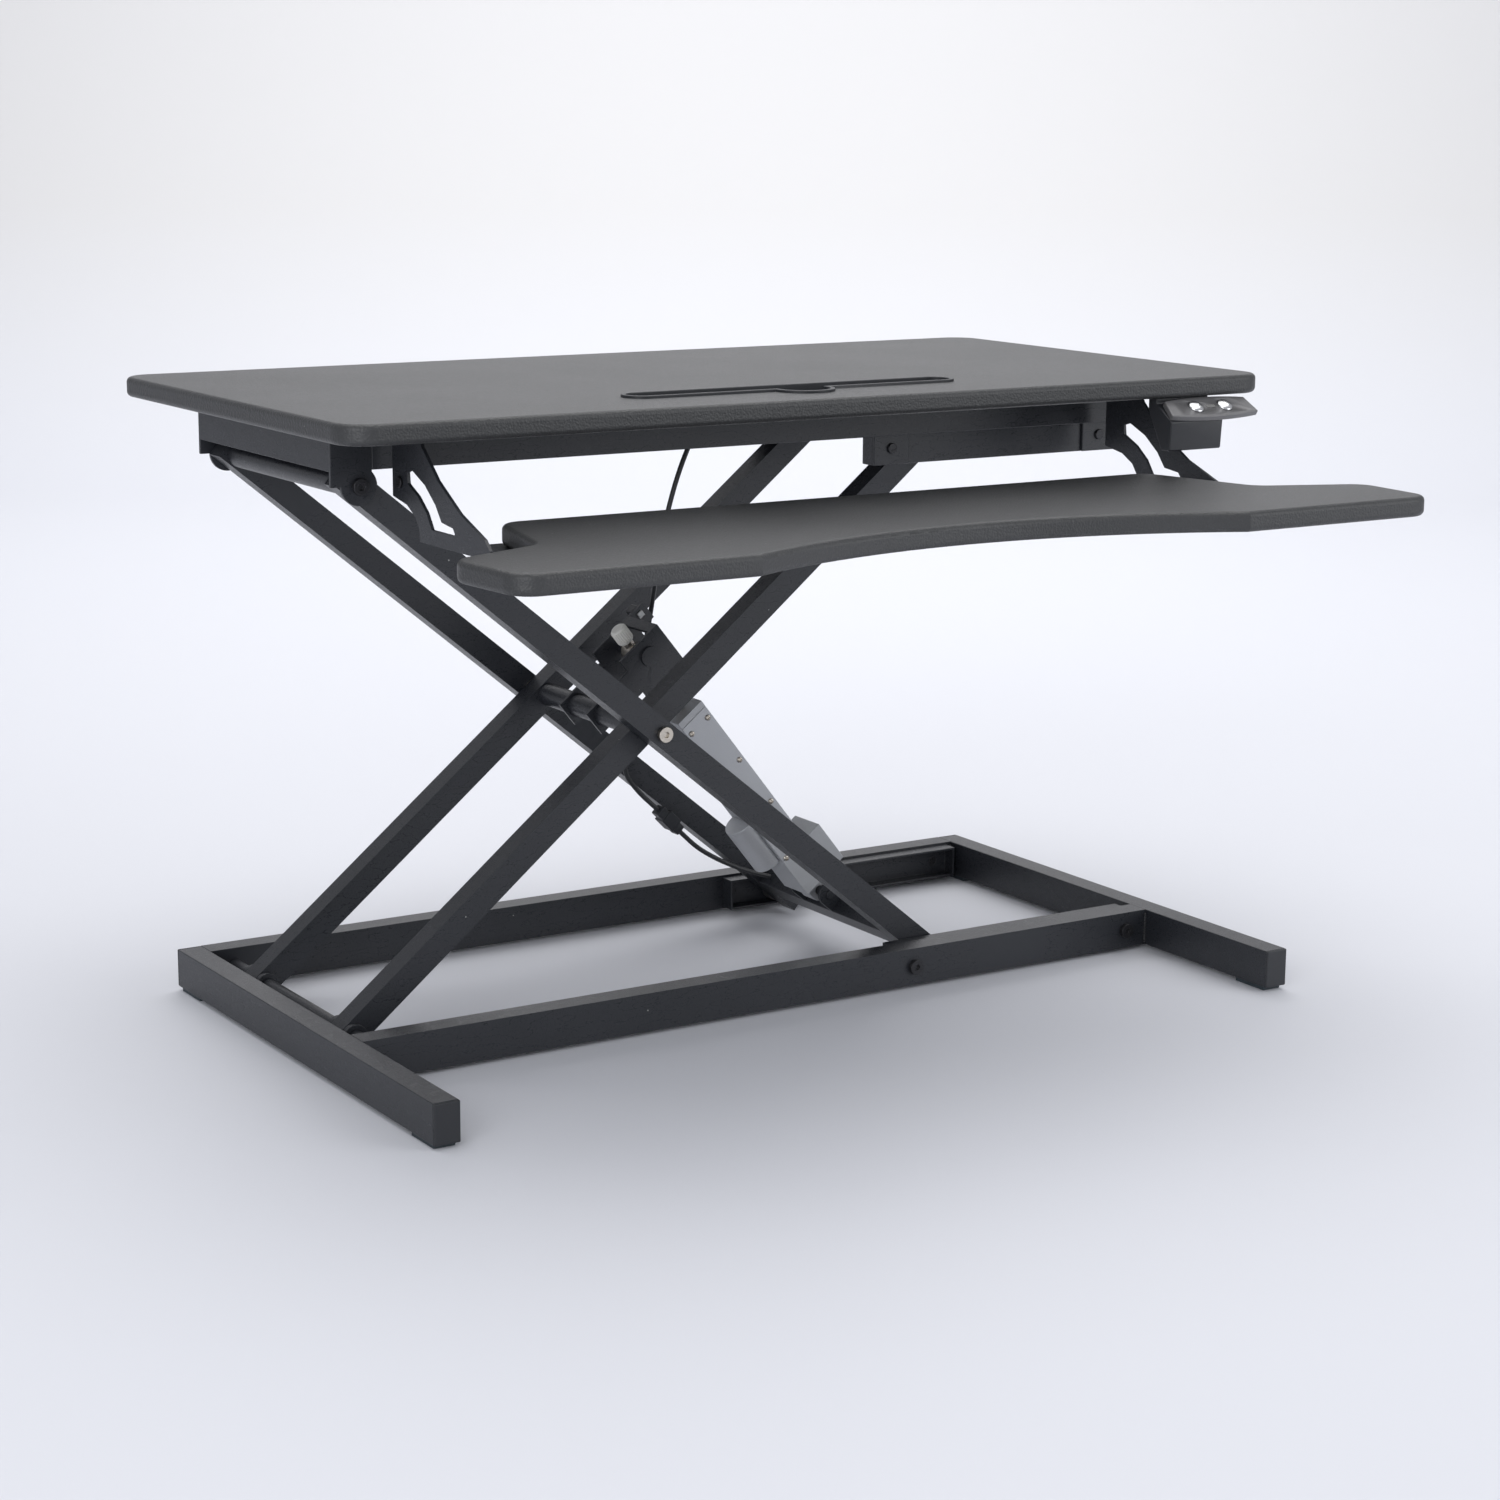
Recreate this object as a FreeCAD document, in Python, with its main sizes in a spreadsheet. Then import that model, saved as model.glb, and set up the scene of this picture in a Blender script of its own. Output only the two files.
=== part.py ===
import FreeCAD, Part
import Sketcher
import math
import os
import re

# Standing desk converter: a scissor lift stand with a desk board, a keyboard tray and a
# linear actuator. Millimetres, +X to the right, +Y to the back, +Z up. The origin is the
# bottom centre of the whole object.

SIZES = [
    # base
    ("base_wide", 758), ("base_deep", 451), ("tube_wide", 20), ("tube_high", 30),
    ("tube_wall", 1.5), ("rail_back", 153), ("pad_high", 3.5), ("pad_long", 34),
    ("pad_wide", 17), ("pad_in", 3), ("cap_thick", 2), ("pivot_in", 40),
    # scissor arms
    ("arm_span", 649), ("arm_size", 20), ("arm_wall", 1.5), ("arm_over", 12),
    ("lift_angle", 39.17), ("washer_gap", 4), ("washer_rad", 9), ("side_gap", 2),
    # pins, bolts and fits
    ("bolt_rad", 4), ("shaft_rad", 6), ("head_rad", 6), ("head_high", 4),
    ("socket_rad", 2.6), ("screw_rad", 4.2), ("screw_high", 2), ("fit_gap", 0.05),
    ("loose_gap", 0.3), ("tie_rad", 9),
    ("tie_bore_deep", 18), ("collar_rad", 10), ("collar_wide", 5),
    # tracks and rollers
    ("track_deep", 14), ("track_wall", 2), ("track_high", 26), ("clip_gap", 1.8),
    ("track_long", 238), ("base_track_past", 44), ("top_track_past", 34),
    ("roller_wide", 8), ("roller_gap", 0.3), ("clip_thick", 1), ("bolt_inset", 8),
    # desk board and its slot insert
    ("board_wide", 800), ("board_deep", 410), ("board_thick", 15), ("board_corner", 24),
    ("board_round", 4), ("board_front", 73.7), ("hinge_drop", 41.1),
    ("insert_long", 290), ("insert_wide", 30), ("insert_back", 76), ("insert_lip", 2),
    ("insert_deep", 9), ("insert_rim", 3.5), ("insert_wall", 2.5), ("bulge_rad", 24),
    # steel frame under the board
    ("frame_high", 30), ("sheet_thick", 2.5), ("ear_thick", 3), ("ear_gap", 2),
    ("ear_wide", 32), ("ear_rad", 14), ("plate_in", 18), ("flange_wide", 30),
    ("frame_right", 358), ("hanger_wide", 33), ("screw_down", 12), ("bolt_short", 2),
    # keyboard tray and its brackets
    ("tray_drop", 72.5), ("tray_thick", 15), ("tray_reach", 134), ("tray_rear", 82),
    ("neck_half", 284), ("neck_low_half", 309), ("neck_front", 21), ("wing_half", 389),
    ("wing_back", 53), ("front_half", 383), ("cut_half", 205), ("cut_deep", 48),
    ("tray_corner", 20), ("tray_round", 4), ("bracket_x", 319), ("foot_wide", 62),
    ("bracket_foot_y", 28), ("bracket_foot_long", 54), ("bracket_head_y", 132),
    ("bracket_bolt_y", 160), ("bracket_bolt_z", 36),
    ("bracket_head_long", 40), ("bracket_head_wide", 26), ("screw_in", 10), ("bracket_round", 1.2),
    # handset
    ("hand_left", 293), ("hand_wide", 87), ("hand_slope", 34), ("hand_deep", 24),
    ("hand_thick", 5), ("hand_body_wide", 52), ("hand_out", 13), ("hand_low", 18),
    ("hand_lip", 1.5), ("hand_back", 10), ("hand_step", 10), ("hand_drop", 22),
    ("hand_foot_front", 3), ("hand_foot_back", 13), ("hand_round", 1.5),
    ("window_long", 10), ("window_wide", 4), ("window_deep", 1),
    ("button_rad", 6.5), ("button_lift", 1.8), ("button_apart", 29), ("button_gap", 0.3),
    ("button_floor", 2),
    # actuator
    ("pin_along", 57.9), ("pin_off", 7), ("foot_in", 49), ("case_start", 64),
    ("case_cap", 6), ("lug_reach", 11.8), ("gear_long", 40), ("case_high", 28),
    ("case_wide", 36), ("rod_rad", 5), ("rod_short", 51), ("rod_spare", 10), ("eye_rad", 8),
    ("eye_wide", 16), ("pin_rad", 4), ("pin_out", 2), ("pin_gap", 1), ("motor_rad", 14), ("motor_off", 17),
    ("motor_long", 46), ("gear_up", 31), ("gear_down", 14), ("beam_in", 37),
    ("beam_wide", 24), ("cheek_thick", 3), ("cheek_gap", 2), ("cheek_half", 22),
    ("cheek_end", 79), ("cheek_neck", 36), ("cheek_neck_half", 11), ("cheek_back", 12),
    ("web_long", 9), ("cap_rad", 7), ("cap_long", 14), ("cap_out", 20), ("lug_rad", 9),
    ("block_long", 16), ("block_deep", 8), ("block_high", 16), ("block_gap", 4),
    # control box and cables
    ("box_along", 379), ("box_wide", 130), ("box_deep", 62), ("box_high", 24),
    ("inlet_wide", 20), ("inlet_high", 16), ("inlet_long", 6), ("inlet_rad", 5),
    ("inlet_floor", 1),
    ("cable_rad", 2), ("plug_wide", 11), ("plug_high", 9), ("grip_more", 3),
]

PLACES = [
    ("foot_y", "(tray_reach - board_front - board_deep) / 2"),
    ("mid_y", "foot_y + (rail_back + base_deep) / 2"),
    ("low_z", "pad_high + tube_high / 2"),
    ("low_x", "pivot_in - base_wide / 2"),
    ("arm_rise", "arm_span * sin(lift_angle)"),
    ("arm_run", "arm_span * cos(lift_angle)"),
    ("high_z", "low_z + arm_rise"),
    ("far_x", "low_x + arm_run"),
    ("cross_x", "low_x + arm_run / 2"),
    ("cross_z", "low_z + arm_rise / 2"),
    ("rail_y", "foot_y + rail_back"),
    ("rail_in_y", "rail_y + tube_wide"),
    ("outer_y", "rail_in_y + track_deep + side_gap"),
    ("inner_y", "outer_y + arm_size + washer_gap"),
    ("inner_in_y", "inner_y + arm_size"),
    ("ear_y", "outer_y - ear_gap - ear_thick"),
    ("top_track_y", "inner_y - side_gap - track_deep"),
    ("under_z", "high_z + hinge_drop"),
    ("board_z", "under_z + board_thick"),
    ("board_y", "foot_y + board_front"),
    ("tray_z", "board_z - tray_drop - tray_thick"),
    ("frame_z", "under_z - frame_high"),
    ("plate_x", "plate_in - base_wide / 2"),
    ("roller_rad", "track_high / 2 - track_wall - roller_gap"),
    ("cut_rad", "(cut_half ^ 2 + cut_deep ^ 2) / (2 * cut_deep)"),
    ("insert_y", "board_y + insert_back"),
    ("base_track_end", "low_x + arm_span + base_track_past"),
    ("top_track_end", "low_x + arm_span + top_track_past"),
    ("foot_along", "arm_span - foot_in"),
    ("beam_start", "arm_span - beam_in"),
    ("act_top_x", "cross_x + pin_along * cos(lift_angle) - pin_off * sin(lift_angle)"),
    ("act_top_z", "cross_z + pin_along * sin(lift_angle) + pin_off * cos(lift_angle)"),
    ("act_low_x", "low_x + foot_along * cos(lift_angle)"),
    ("act_low_z", "high_z - foot_along * sin(lift_angle)"),
    ("act_wide", "act_low_x - act_top_x"),
    ("act_fall", "act_top_z - act_low_z"),
    ("act_span", "sqrt(act_wide ^ 2 + act_fall ^ 2)"),
    ("case_long", "act_span - case_start - gear_long - lug_reach"),
    ("rod_in", "case_long - rod_short"),
    ("rod_room", "case_long + rod_spare"),
    ("act_angle", "atan2(act_fall; act_wide) / 1deg"),
    ("cheek_y", "case_wide / 2 + cheek_gap"),
    ("panel_y", "board_y - hand_out"),
    ("panel_z", "under_z - hand_low"),
    ("box_x", "low_x + box_along"),
    ("box_y", "mid_y - box_deep / 2"),
]

doc = FreeCAD.newDocument("desk_converter")
sizes = doc.addObject("Spreadsheet::Sheet", "Sizes")
places = doc.addObject("Spreadsheet::Sheet", "Places")
size_names = {name for name, value in SIZES}
nodes = []
radii = []
FreeV = FreeCAD.Vector


def tie(text):
    """Give each sheet name in an expression its sheet."""
    def full(match):
        word = match.group(0)
        return ("Sizes." if word in size_names else "Places.") + word
    return re.sub(r"[a-z]+(?:_[a-z]+)+", full, str(text))


for row, (name, value) in enumerate(SIZES, start=1):
    sizes.set("A%d" % row, str(value))
    sizes.setAlias("A%d" % row, name)
doc.recompute()
for row, (name, text) in enumerate(PLACES, start=1):
    places.set("A%d" % row, "=" + tie(text))
    places.setAlias("A%d" % row, name)
    doc.recompute()


def size(name):
    """Read one value from the sheets."""
    sheet = sizes if name in size_names else places
    return float(getattr(sheet, name))


def keep(item, label):
    """Name a finished sub-part and list it as a node."""
    item.Label = label
    nodes.append(item)
    return item


def place(item, at, turn=None):
    """Bind a position and, if there is one, a turn about an axis."""
    if turn:
        item.Placement = FreeCAD.Placement(FreeV(), FreeCAD.Rotation(FreeV(*turn[0]), 1))
        item.setExpression("Placement.Rotation.Angle", tie(turn[1]))
    for axis, text in zip("xyz", at):
        item.setExpression("Placement.Base." + axis, tie(text))
    return item


def block(long, deep, high, at=(0, 0, 0), turn=None):
    """A rectangular block from its low corner."""
    item = doc.addObject("Part::Box", "block")
    for prop, text in zip(("Length", "Width", "Height"), (long, deep, high)):
        item.setExpression(prop, tie(text))
    return place(item, at, turn)


AXES = {"X": ((0, 1, 0), "90"), "Y": ((1, 0, 0), "-90"), "Z": None}


def rod(radius, long, at=(0, 0, 0), axis="Y"):
    """A round bar that runs along one axis from its start point."""
    item = doc.addObject("Part::Cylinder", "rod")
    item.setExpression("Radius", tie(radius))
    item.setExpression("Height", tie(long))
    return place(item, at, AXES[axis])


def hexagon(radius, long, at, axis="Y"):
    """A six-sided socket or nut."""
    item = doc.addObject("Part::Prism", "hexagon")
    item.Polygon = 6
    item.setExpression("Circumradius", tie(radius))
    item.setExpression("Height", tie(long))
    return place(item, at, AXES[axis])


def fuse(*items, at=None, turn=None):
    """Join solids into one."""
    item = doc.addObject("Part::MultiFuse", "joined")
    item.Shapes = list(items)
    item.Refine = True
    return place(item, at, turn) if at else item


def seat(item, at, turn):
    """Carry a finished solid to its place in the object."""
    holder = doc.addObject("Part::Compound", "seat")
    holder.Links = [item]
    return place(holder, at, turn)


def cut(base, *tools, at=None, turn=None):
    """Take solids away from a base."""
    tool = tools[0] if len(tools) == 1 else fuse(*tools)
    item = doc.addObject("Part::Cut", "cut")
    item.Base = base
    item.Tool = tool
    return place(item, at, turn) if at else item


def group(label, *items):
    """Several loose solids in one node."""
    item = doc.addObject("Part::Compound", "set")
    item.Links = list(items)
    return keep(item, label)


def back(front, deep):
    """The Y of a piece's mirror image behind the middle of the frame."""
    return "2 * mid_y - (%s) - (%s)" % (front, deep)


def body_plane(body, role):
    """One of a body's own origin planes."""
    return next(item for item in body.Origin.OriginFeatures if item.Role == role)


def add_outline(sketch, points):
    """Draw a closed outline whose corners are bound to the sheets."""
    first = sketch.GeometryCount
    count = len(points)
    ring = [FreeV(math.cos(2 * math.pi * k / count), math.sin(2 * math.pi * k / count), 0)
            for k in range(count)]
    for k in range(count):
        sketch.addGeometry(Part.LineSegment(ring[k] * 100, ring[(k + 1) % count] * 100))
    for k in range(count):
        follow = first + (k + 1) % count
        sketch.addConstraint(Sketcher.Constraint("Coincident", first + k, 2, follow, 1))
    for k, (across, up) in enumerate(points):
        for kind, text, start in (("DistanceX", across, ring[k].x), ("DistanceY", up, ring[k].y)):
            index = sketch.addConstraint(
                Sketcher.Constraint(kind, -1, 1, first + k, 1, start * 100))
            sketch.setExpression("Constraints[%d]" % index, tie(text))


def add_circle(sketch, across, up, radius):
    """Draw a circle bound to the sheets."""
    first = sketch.GeometryCount
    sketch.addGeometry(Part.Circle(FreeV(10, 10, 0), FreeV(0, 0, 1), 3))
    for kind, text in (("DistanceX", across), ("DistanceY", up)):
        index = sketch.addConstraint(Sketcher.Constraint(kind, -1, 1, first, 3, 10))
        sketch.setExpression("Constraints[%d]" % index, tie(text))
    index = sketch.addConstraint(Sketcher.Constraint("Radius", first, 3))
    sketch.setExpression("Constraints[%d]" % index, tie(radius))


def add_sketch(body, role, outlines=(), circles=()):
    """A sketch on one of the body's origin planes."""
    sketch = body.newObject("Sketcher::SketchObject", "sketch")
    sketch.AttachmentSupport = [(body_plane(body, role), "")]
    sketch.MapMode = "FlatFace"
    for points in outlines:
        add_outline(sketch, points)
    for circle in circles:
        add_circle(sketch, *circle)
    return sketch


def padded(role, outlines, thick, circles=(), at=(0, 0, 0), turn=None):
    """A body with one padded sketch, grown along the plane's own axis direction."""
    body = doc.addObject("PartDesign::Body", "body")
    pad = body.newObject("PartDesign::Pad", "pad")
    pad.Profile = add_sketch(body, role, outlines, circles)
    pad.setExpression("Length", tie(thick))
    pad.Reversed = role == "XZ_Plane"
    body.Tip = pad
    doc.recompute()
    return place(body, at, turn)


def pocket(body, role, deep, outlines=(), circles=()):
    """Cut a sketch into a body, into the solid, and make sure that it did."""
    before = body.Shape.Volume
    hole = body.newObject("PartDesign::Pocket", "pocket")
    hole.Profile = add_sketch(body, role, outlines, circles)
    hole.Midplane = False
    hole.setExpression("Length", tie(deep))
    hole.Reversed = True
    body.Tip = hole
    doc.recompute()
    if body.Shape.Volume > before - 1:
        raise ValueError("pocket removed nothing")
    return body


def round_edges(body, radius, wanted):
    """Round the edges that a test picks."""
    base = body.Tip
    edges = ["Edge%d" % (k + 1) for k, edge in enumerate(base.Shape.Edges) if wanted(edge)]
    fillet = body.newObject("PartDesign::Fillet", "fillet")
    fillet.Base = (base, edges)
    fillet.setExpression("Radius", tie(radius))
    body.Tip = fillet
    doc.recompute()
    return body


def along(edge, axis):
    """Whether an edge is straight and runs along one axis."""
    if edge.Curve.TypeId != "Part::GeomLine":
        return False
    return abs(getattr(edge.tangentAt(edge.FirstParameter), axis)) > 0.999


def bolt(at, long, inward, socket=True):
    """A socket-head bolt along Y: its head is outside, its shank goes inward."""
    x, y, z = at
    head_y = "%s - head_high" % y if inward > 0 else y
    shank_y = y if inward > 0 else "%s - (%s)" % (y, long)
    joined = fuse(rod("head_rad", "head_high", (x, head_y, z)),
                  rod("bolt_rad", long, (x, shank_y, z)))
    mouth_y = head_y if inward > 0 else "%s + head_high / 2" % y
    return cut(joined, hexagon("socket_rad", "head_high / 2", (x, mouth_y, z)))


def screw(x, y, z, axis="Y"):
    """A small pan screw head, from its low side along an axis."""
    return rod("screw_rad", "screw_high", (x, y, z), axis)


# ---- base ----------------------------------------------------------------------------

def hollow_bar(long, deep, high, axis, wall, at, holes=()):
    """A rectangular tube, open at both ends, with cross holes."""
    outer = block(long, deep, high, at)
    x, y, z = at
    if axis == "Y":
        room = block("%s - 2 * %s" % (long, wall), deep, "%s - 2 * %s" % (high, wall),
                     ("%s + %s" % (x, wall), y, "%s + %s" % (z, wall)))
    else:
        room = block(long, "%s - 2 * %s" % (deep, wall), "%s - 2 * %s" % (high, wall),
                     (x, "%s + %s" % (y, wall), "%s + %s" % (z, wall)))
    return cut(outer, room, *holes)


def make_base():
    """Two side tubes, two rails, their caps, pads, tracks and bolts."""
    left_x = "-base_wide / 2"
    right_x = "base_wide / 2 - tube_wide"
    tube_long = "base_deep - 2 * cap_thick"
    for label, x in (("base_left_tube", left_x), ("base_right_tube", right_x)):
        at = (x, "foot_y + cap_thick", "pad_high")
        keep(hollow_bar("tube_wide", tube_long, "tube_high", "Y", "tube_wall", at), label)
    rail_long = "base_wide - 2 * tube_wide"
    bolt_long = "tube_wide + track_wall"
    bolts = []
    for side, rail_y, track_y, bolt_y, inward in (
            ("front", "rail_y", "rail_in_y", "rail_y", 1),
            ("rear", back("rail_y", "tube_wide"), back("rail_in_y", "track_deep"),
             back("rail_y", 0), -1)):
        holes = []
        for x in ("base_track_end - track_long + bolt_inset", "base_track_end - 2 * bolt_inset"):
            hole_y = rail_y if inward > 0 else "%s - track_wall" % rail_y
            holes.append(rod("bolt_rad", bolt_long, (x, hole_y, "low_z")))
            bolts.append(bolt((x, bolt_y, "low_z"), bolt_long, inward))
        at = ("tube_wide - base_wide / 2", rail_y, "pad_high")
        rail = hollow_bar(rail_long, "tube_wide", "tube_high", "X", "tube_wall", at, holes)
        keep(rail, "base_%s_rail" % side)
        make_track("base_%s_track" % side, track_y, inward, "low_z", "base_track_end", holes)
    group("track_bolts", *bolts)
    caps = []
    pads = []
    for x in (left_x, right_x):
        for y in ("foot_y", "foot_y + base_deep - cap_thick"):
            caps.append(block("tube_wide", "cap_thick", "tube_high", (x, y, "pad_high")))
        for y in ("foot_y + cap_thick + pad_in",
                  "foot_y + base_deep - cap_thick - pad_in - pad_long"):
            pad_x = "%s + (tube_wide - pad_wide) / 2" % x
            pads.append(block("pad_wide", "pad_long", "pad_high", (pad_x, y, 0)))
    group("base_end_caps", *caps)
    group("base_foot_pads", *pads)


def make_track(label, y, mouth, z, end, holes=()):
    """A C-shaped roller track along X: its closed back is away from the arms."""
    x = "%s - track_long" % end
    low = "%s - track_high / 2" % z
    outer = block("track_long", "track_deep", "track_high", (x, y, low))
    room_y = "%s + track_wall" % y if mouth > 0 else y
    room = block("track_long - 2 * track_wall", "track_deep - track_wall",
                 "track_high - 2 * track_wall",
                 ("%s + track_wall" % x, room_y, "%s + track_wall" % low))
    return keep(cut(outer, room, *holes), label)


def hinge_shaft():
    """The shaft that the inner arms turn on, with a collar on each side of each arm."""
    rings = [rod("shaft_rad", "2 * (mid_y - rail_in_y)", ("low_x", "rail_in_y", "low_z"))]
    for y in ("inner_y - loose_gap - collar_wide", "inner_in_y + loose_gap"):
        for start in (y, back(y, "collar_wide")):
            ring = rod("collar_rad", "collar_wide", ("low_x", start, "low_z"))
            bore = rod("shaft_rad", "collar_wide", ("low_x", start, "low_z"))
            rings.append(cut(ring, bore))
    group("hinge_shaft", *rings)


# ---- scissor arms --------------------------------------------------------------------

def make_arm(label, y, start, tilt, bores):
    """A square tube arm with cross bores, laid from its pivot at the left end."""
    outer = block("arm_span + 2 * arm_over", "arm_size", "arm_size",
                  ("-arm_over", 0, "-arm_size / 2"))
    inside = block("arm_span + 2 * arm_over", "arm_size - 2 * arm_wall",
                   "arm_size - 2 * arm_wall", ("-arm_over", "arm_wall", "arm_wall - arm_size / 2"))
    holes = [rod(radius, "arm_size", (u, 0, 0)) for u, radius in bores]
    arm = cut(outer, inside, *holes, at=(start[0], y, start[1]), turn=((0, 1, 0), tilt))
    return keep(arm, label)


def arm_caps(label, rows, start, tilt):
    """Plastic plugs in both ends of a pair of arms."""
    plugs = []
    for y in rows:
        for u in ("-arm_over", "arm_span + arm_over - cap_thick"):
            plug = block("cap_thick", "arm_size - 2 * arm_wall", "arm_size - 2 * arm_wall",
                         (u, 0, "arm_wall - arm_size / 2"))
            plugs.append(seat(plug, (start[0], "%s + arm_wall" % y, start[1]),
                              ((0, 1, 0), tilt)))
    group(label, *plugs)


def roller_set(prefix, track_y, arm_y, x, z):
    """Two rollers, and the axles that carry them on the outside of a pair of arms."""
    axles = []
    clip_y = "%s + track_wall + clip_gap" % track_y
    roll_y = "%s + clip_thick + loose_gap" % clip_y
    neck_y = "%s + roller_wide + loose_gap" % roll_y
    neck = "%s - (%s)" % (arm_y, neck_y)
    pin = "%s + arm_size + clip_thick - (%s)" % (arm_y, clip_y)
    for side, mirrored in (("front", False), ("rear", True)):
        def at(y, deep):
            return (x, back(y, deep) if mirrored else y, z)
        roller = cut(rod("roller_rad", "roller_wide", at(roll_y, "roller_wide")),
                     rod("bolt_rad + fit_gap", "roller_wide", at(roll_y, "roller_wide")))
        keep(roller, "%s_%s_roller" % (prefix, side))
        axles.append(fuse(rod("bolt_rad", pin, at(clip_y, pin)),
                          rod("head_rad", "clip_thick", at(clip_y, "clip_thick")),
                          rod("head_rad", neck, at(neck_y, neck)),
                          rod("head_rad", "clip_thick * 3",
                              at("%s + arm_size" % arm_y, "clip_thick * 3"))))
    group("%s_roller_axles" % prefix, *axles)


def make_scissor():
    """Outer and inner arm pairs, their cross members and centre bolts."""
    rear_outer = back("outer_y", "arm_size")
    rear_inner = back("inner_y", "arm_size")
    run = "bolt_rad + fit_gap"
    outer_bores = (("0", run), ("arm_span / 2", run), ("arm_span", "bolt_rad"))
    inner_bores = (("0", "shaft_rad + fit_gap"), ("arm_span / 2", "bolt_rad"),
                   ("arm_span", "bolt_rad"))
    high = ("low_x", "high_z")
    low = ("low_x", "low_z")
    make_arm("outer_front_arm", "outer_y", high, "lift_angle", outer_bores)
    make_arm("outer_rear_arm", rear_outer, high, "lift_angle", outer_bores)
    make_arm("inner_front_arm", "inner_y", low, "-lift_angle", inner_bores)
    make_arm("inner_rear_arm", rear_inner, low, "-lift_angle", inner_bores)
    arm_caps("outer_arm_caps", ("outer_y", rear_outer), high, "lift_angle")
    arm_caps("inner_arm_caps", ("inner_y", rear_inner), low, "-lift_angle")
    span = "2 * (mid_y - outer_y - arm_size)"
    tube = rod("tie_rad", span, ("low_x", "outer_y + arm_size", "high_z"))
    bore_back = back("outer_y + arm_size", "tie_bore_deep")
    keep(cut(tube,
             rod(run, "tie_bore_deep", ("low_x", "outer_y + arm_size", "high_z")),
             rod(run, "tie_bore_deep", ("low_x", bore_back, "high_z"))), "outer_top_tie")
    span = "2 * (mid_y - inner_in_y)"
    tube = rod("tie_rad", span, ("cross_x", "inner_in_y", "cross_z"))
    keep(cut(tube,
             rod("bolt_rad", "tie_bore_deep", ("cross_x", "inner_in_y", "cross_z")),
             rod("bolt_rad", "tie_bore_deep",
                 ("cross_x", back("inner_in_y", "tie_bore_deep"), "cross_z"))), "inner_middle_tie")
    shank = "2 * arm_size + washer_gap + tie_bore_deep + loose_gap"
    fixings = [bolt(("cross_x", "outer_y - loose_gap", "cross_z"), shank, 1),
               bolt(("cross_x", back("outer_y - loose_gap", 0), "cross_z"), shank, -1)]
    thick = "washer_gap - 2 * fit_gap"
    for y in ("outer_y + arm_size + fit_gap", back("outer_y + arm_size + fit_gap", thick)):
        at = ("cross_x", y, "cross_z")
        fixings.append(cut(rod("washer_rad", thick, at), rod("bolt_rad", thick, at)))
    group("centre_bolts", *fixings)
    roller_set("lower", "rail_in_y", "outer_y", "far_x", "low_z")
    roller_set("upper", "top_track_y", "inner_y", "far_x", "high_z")
    beam = block("beam_wide", "2 * (mid_y - outer_y - arm_size)", "arm_size",
                 ("beam_start", "outer_y + arm_size", "-arm_size / 2"))
    room = block("beam_wide - 2 * arm_wall", "2 * (mid_y - outer_y - arm_size)",
                 "arm_size - 2 * arm_wall",
                 ("beam_start + arm_wall", "outer_y + arm_size", "arm_wall - arm_size / 2"))
    keep(cut(beam, room, at=("low_x", 0, "high_z"), turn=((0, 1, 0), "lift_angle")), "lower_beam")


# ---- frame under the board -----------------------------------------------------------

def make_frame():
    """Left hinge plate with two ears, rails, right end plate, tracks, hangers and bolts."""
    deep = "2 * (mid_y - ear_y)"
    pieces = [block("sheet_thick", deep, "frame_high", ("plate_x", "ear_y", "frame_z")),
              block("flange_wide", deep, "sheet_thick",
                    ("plate_x", "ear_y", "under_z - sheet_thick"))]
    holes = []
    for y in ("ear_y", back("ear_y", "ear_thick")):
        pieces.append(block("ear_wide", "ear_thick", "under_z - high_z", ("plate_x", y, "high_z")))
        pieces.append(rod("ear_rad", "ear_thick", ("low_x", y, "high_z")))
        holes.append(rod("bolt_rad", "ear_thick", ("low_x", y, "high_z")))
    keep(cut(fuse(*pieces), *holes), "hinge_plate")
    rail_x = "plate_x + ear_wide"
    rail_long = "frame_right - sheet_thick - (plate_x + ear_wide)"
    for label, y, flat_y in (
            ("top_front_rail", "ear_y", "ear_y"),
            ("top_rear_rail", back("ear_y", "sheet_thick"), back("ear_y", "flange_wide"))):
        rail = fuse(block(rail_long, "sheet_thick", "frame_high", (rail_x, y, "frame_z")),
                    block(rail_long, "flange_wide", "sheet_thick",
                          (rail_x, flat_y, "under_z - sheet_thick")))
        keep(rail, label)
    end = fuse(block("sheet_thick", deep, "frame_high",
                     ("frame_right - sheet_thick", "ear_y", "frame_z")),
               block("flange_wide", "2 * (mid_y - ear_y - flange_wide)", "sheet_thick",
                     ("frame_right - flange_wide", "ear_y + flange_wide",
                      "under_z - sheet_thick")))
    keep(end, "top_right_end")
    make_track("top_front_track", "top_track_y", 1, "high_z", "top_track_end")
    make_track("top_rear_track", back("top_track_y", "track_deep"), -1, "high_z", "top_track_end")
    make_hangers()
    shank = "ear_thick + ear_gap + arm_size + tie_bore_deep - bolt_short"
    group("hinge_bolts",
          bolt(("low_x", "ear_y", "high_z"), shank, 1),
          bolt(("low_x", back("ear_y", 0), "high_z"), shank, -1))


def make_hangers():
    """The plates that hold the upper tracks, and the screws of hangers and brackets."""
    low = "high_z - track_high / 2"
    tall = "under_z - sheet_thick - (high_z - track_high / 2)"
    face = "top_track_y - sheet_thick"
    hangers = []
    heads = []
    for x, screw_x in (("top_track_end - hanger_wide", "top_track_end - hanger_wide / 2"),
                       ("top_track_end - track_long",
                        "top_track_end - track_long + hanger_wide / 2")):
        for y in (face, back(face, "sheet_thick")):
            hangers.append(block("hanger_wide", "sheet_thick", tall, (x, y, low)))
        for z in ("high_z", "under_z - screw_down"):
            heads.append(screw(screw_x, "%s - screw_high" % face, z))
            heads.append(screw(screw_x, back(face, 0), z))
    group("track_hangers", *hangers)
    group("frame_screws", *heads, *bracket_screws())


# ---- boards --------------------------------------------------------------------------

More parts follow.
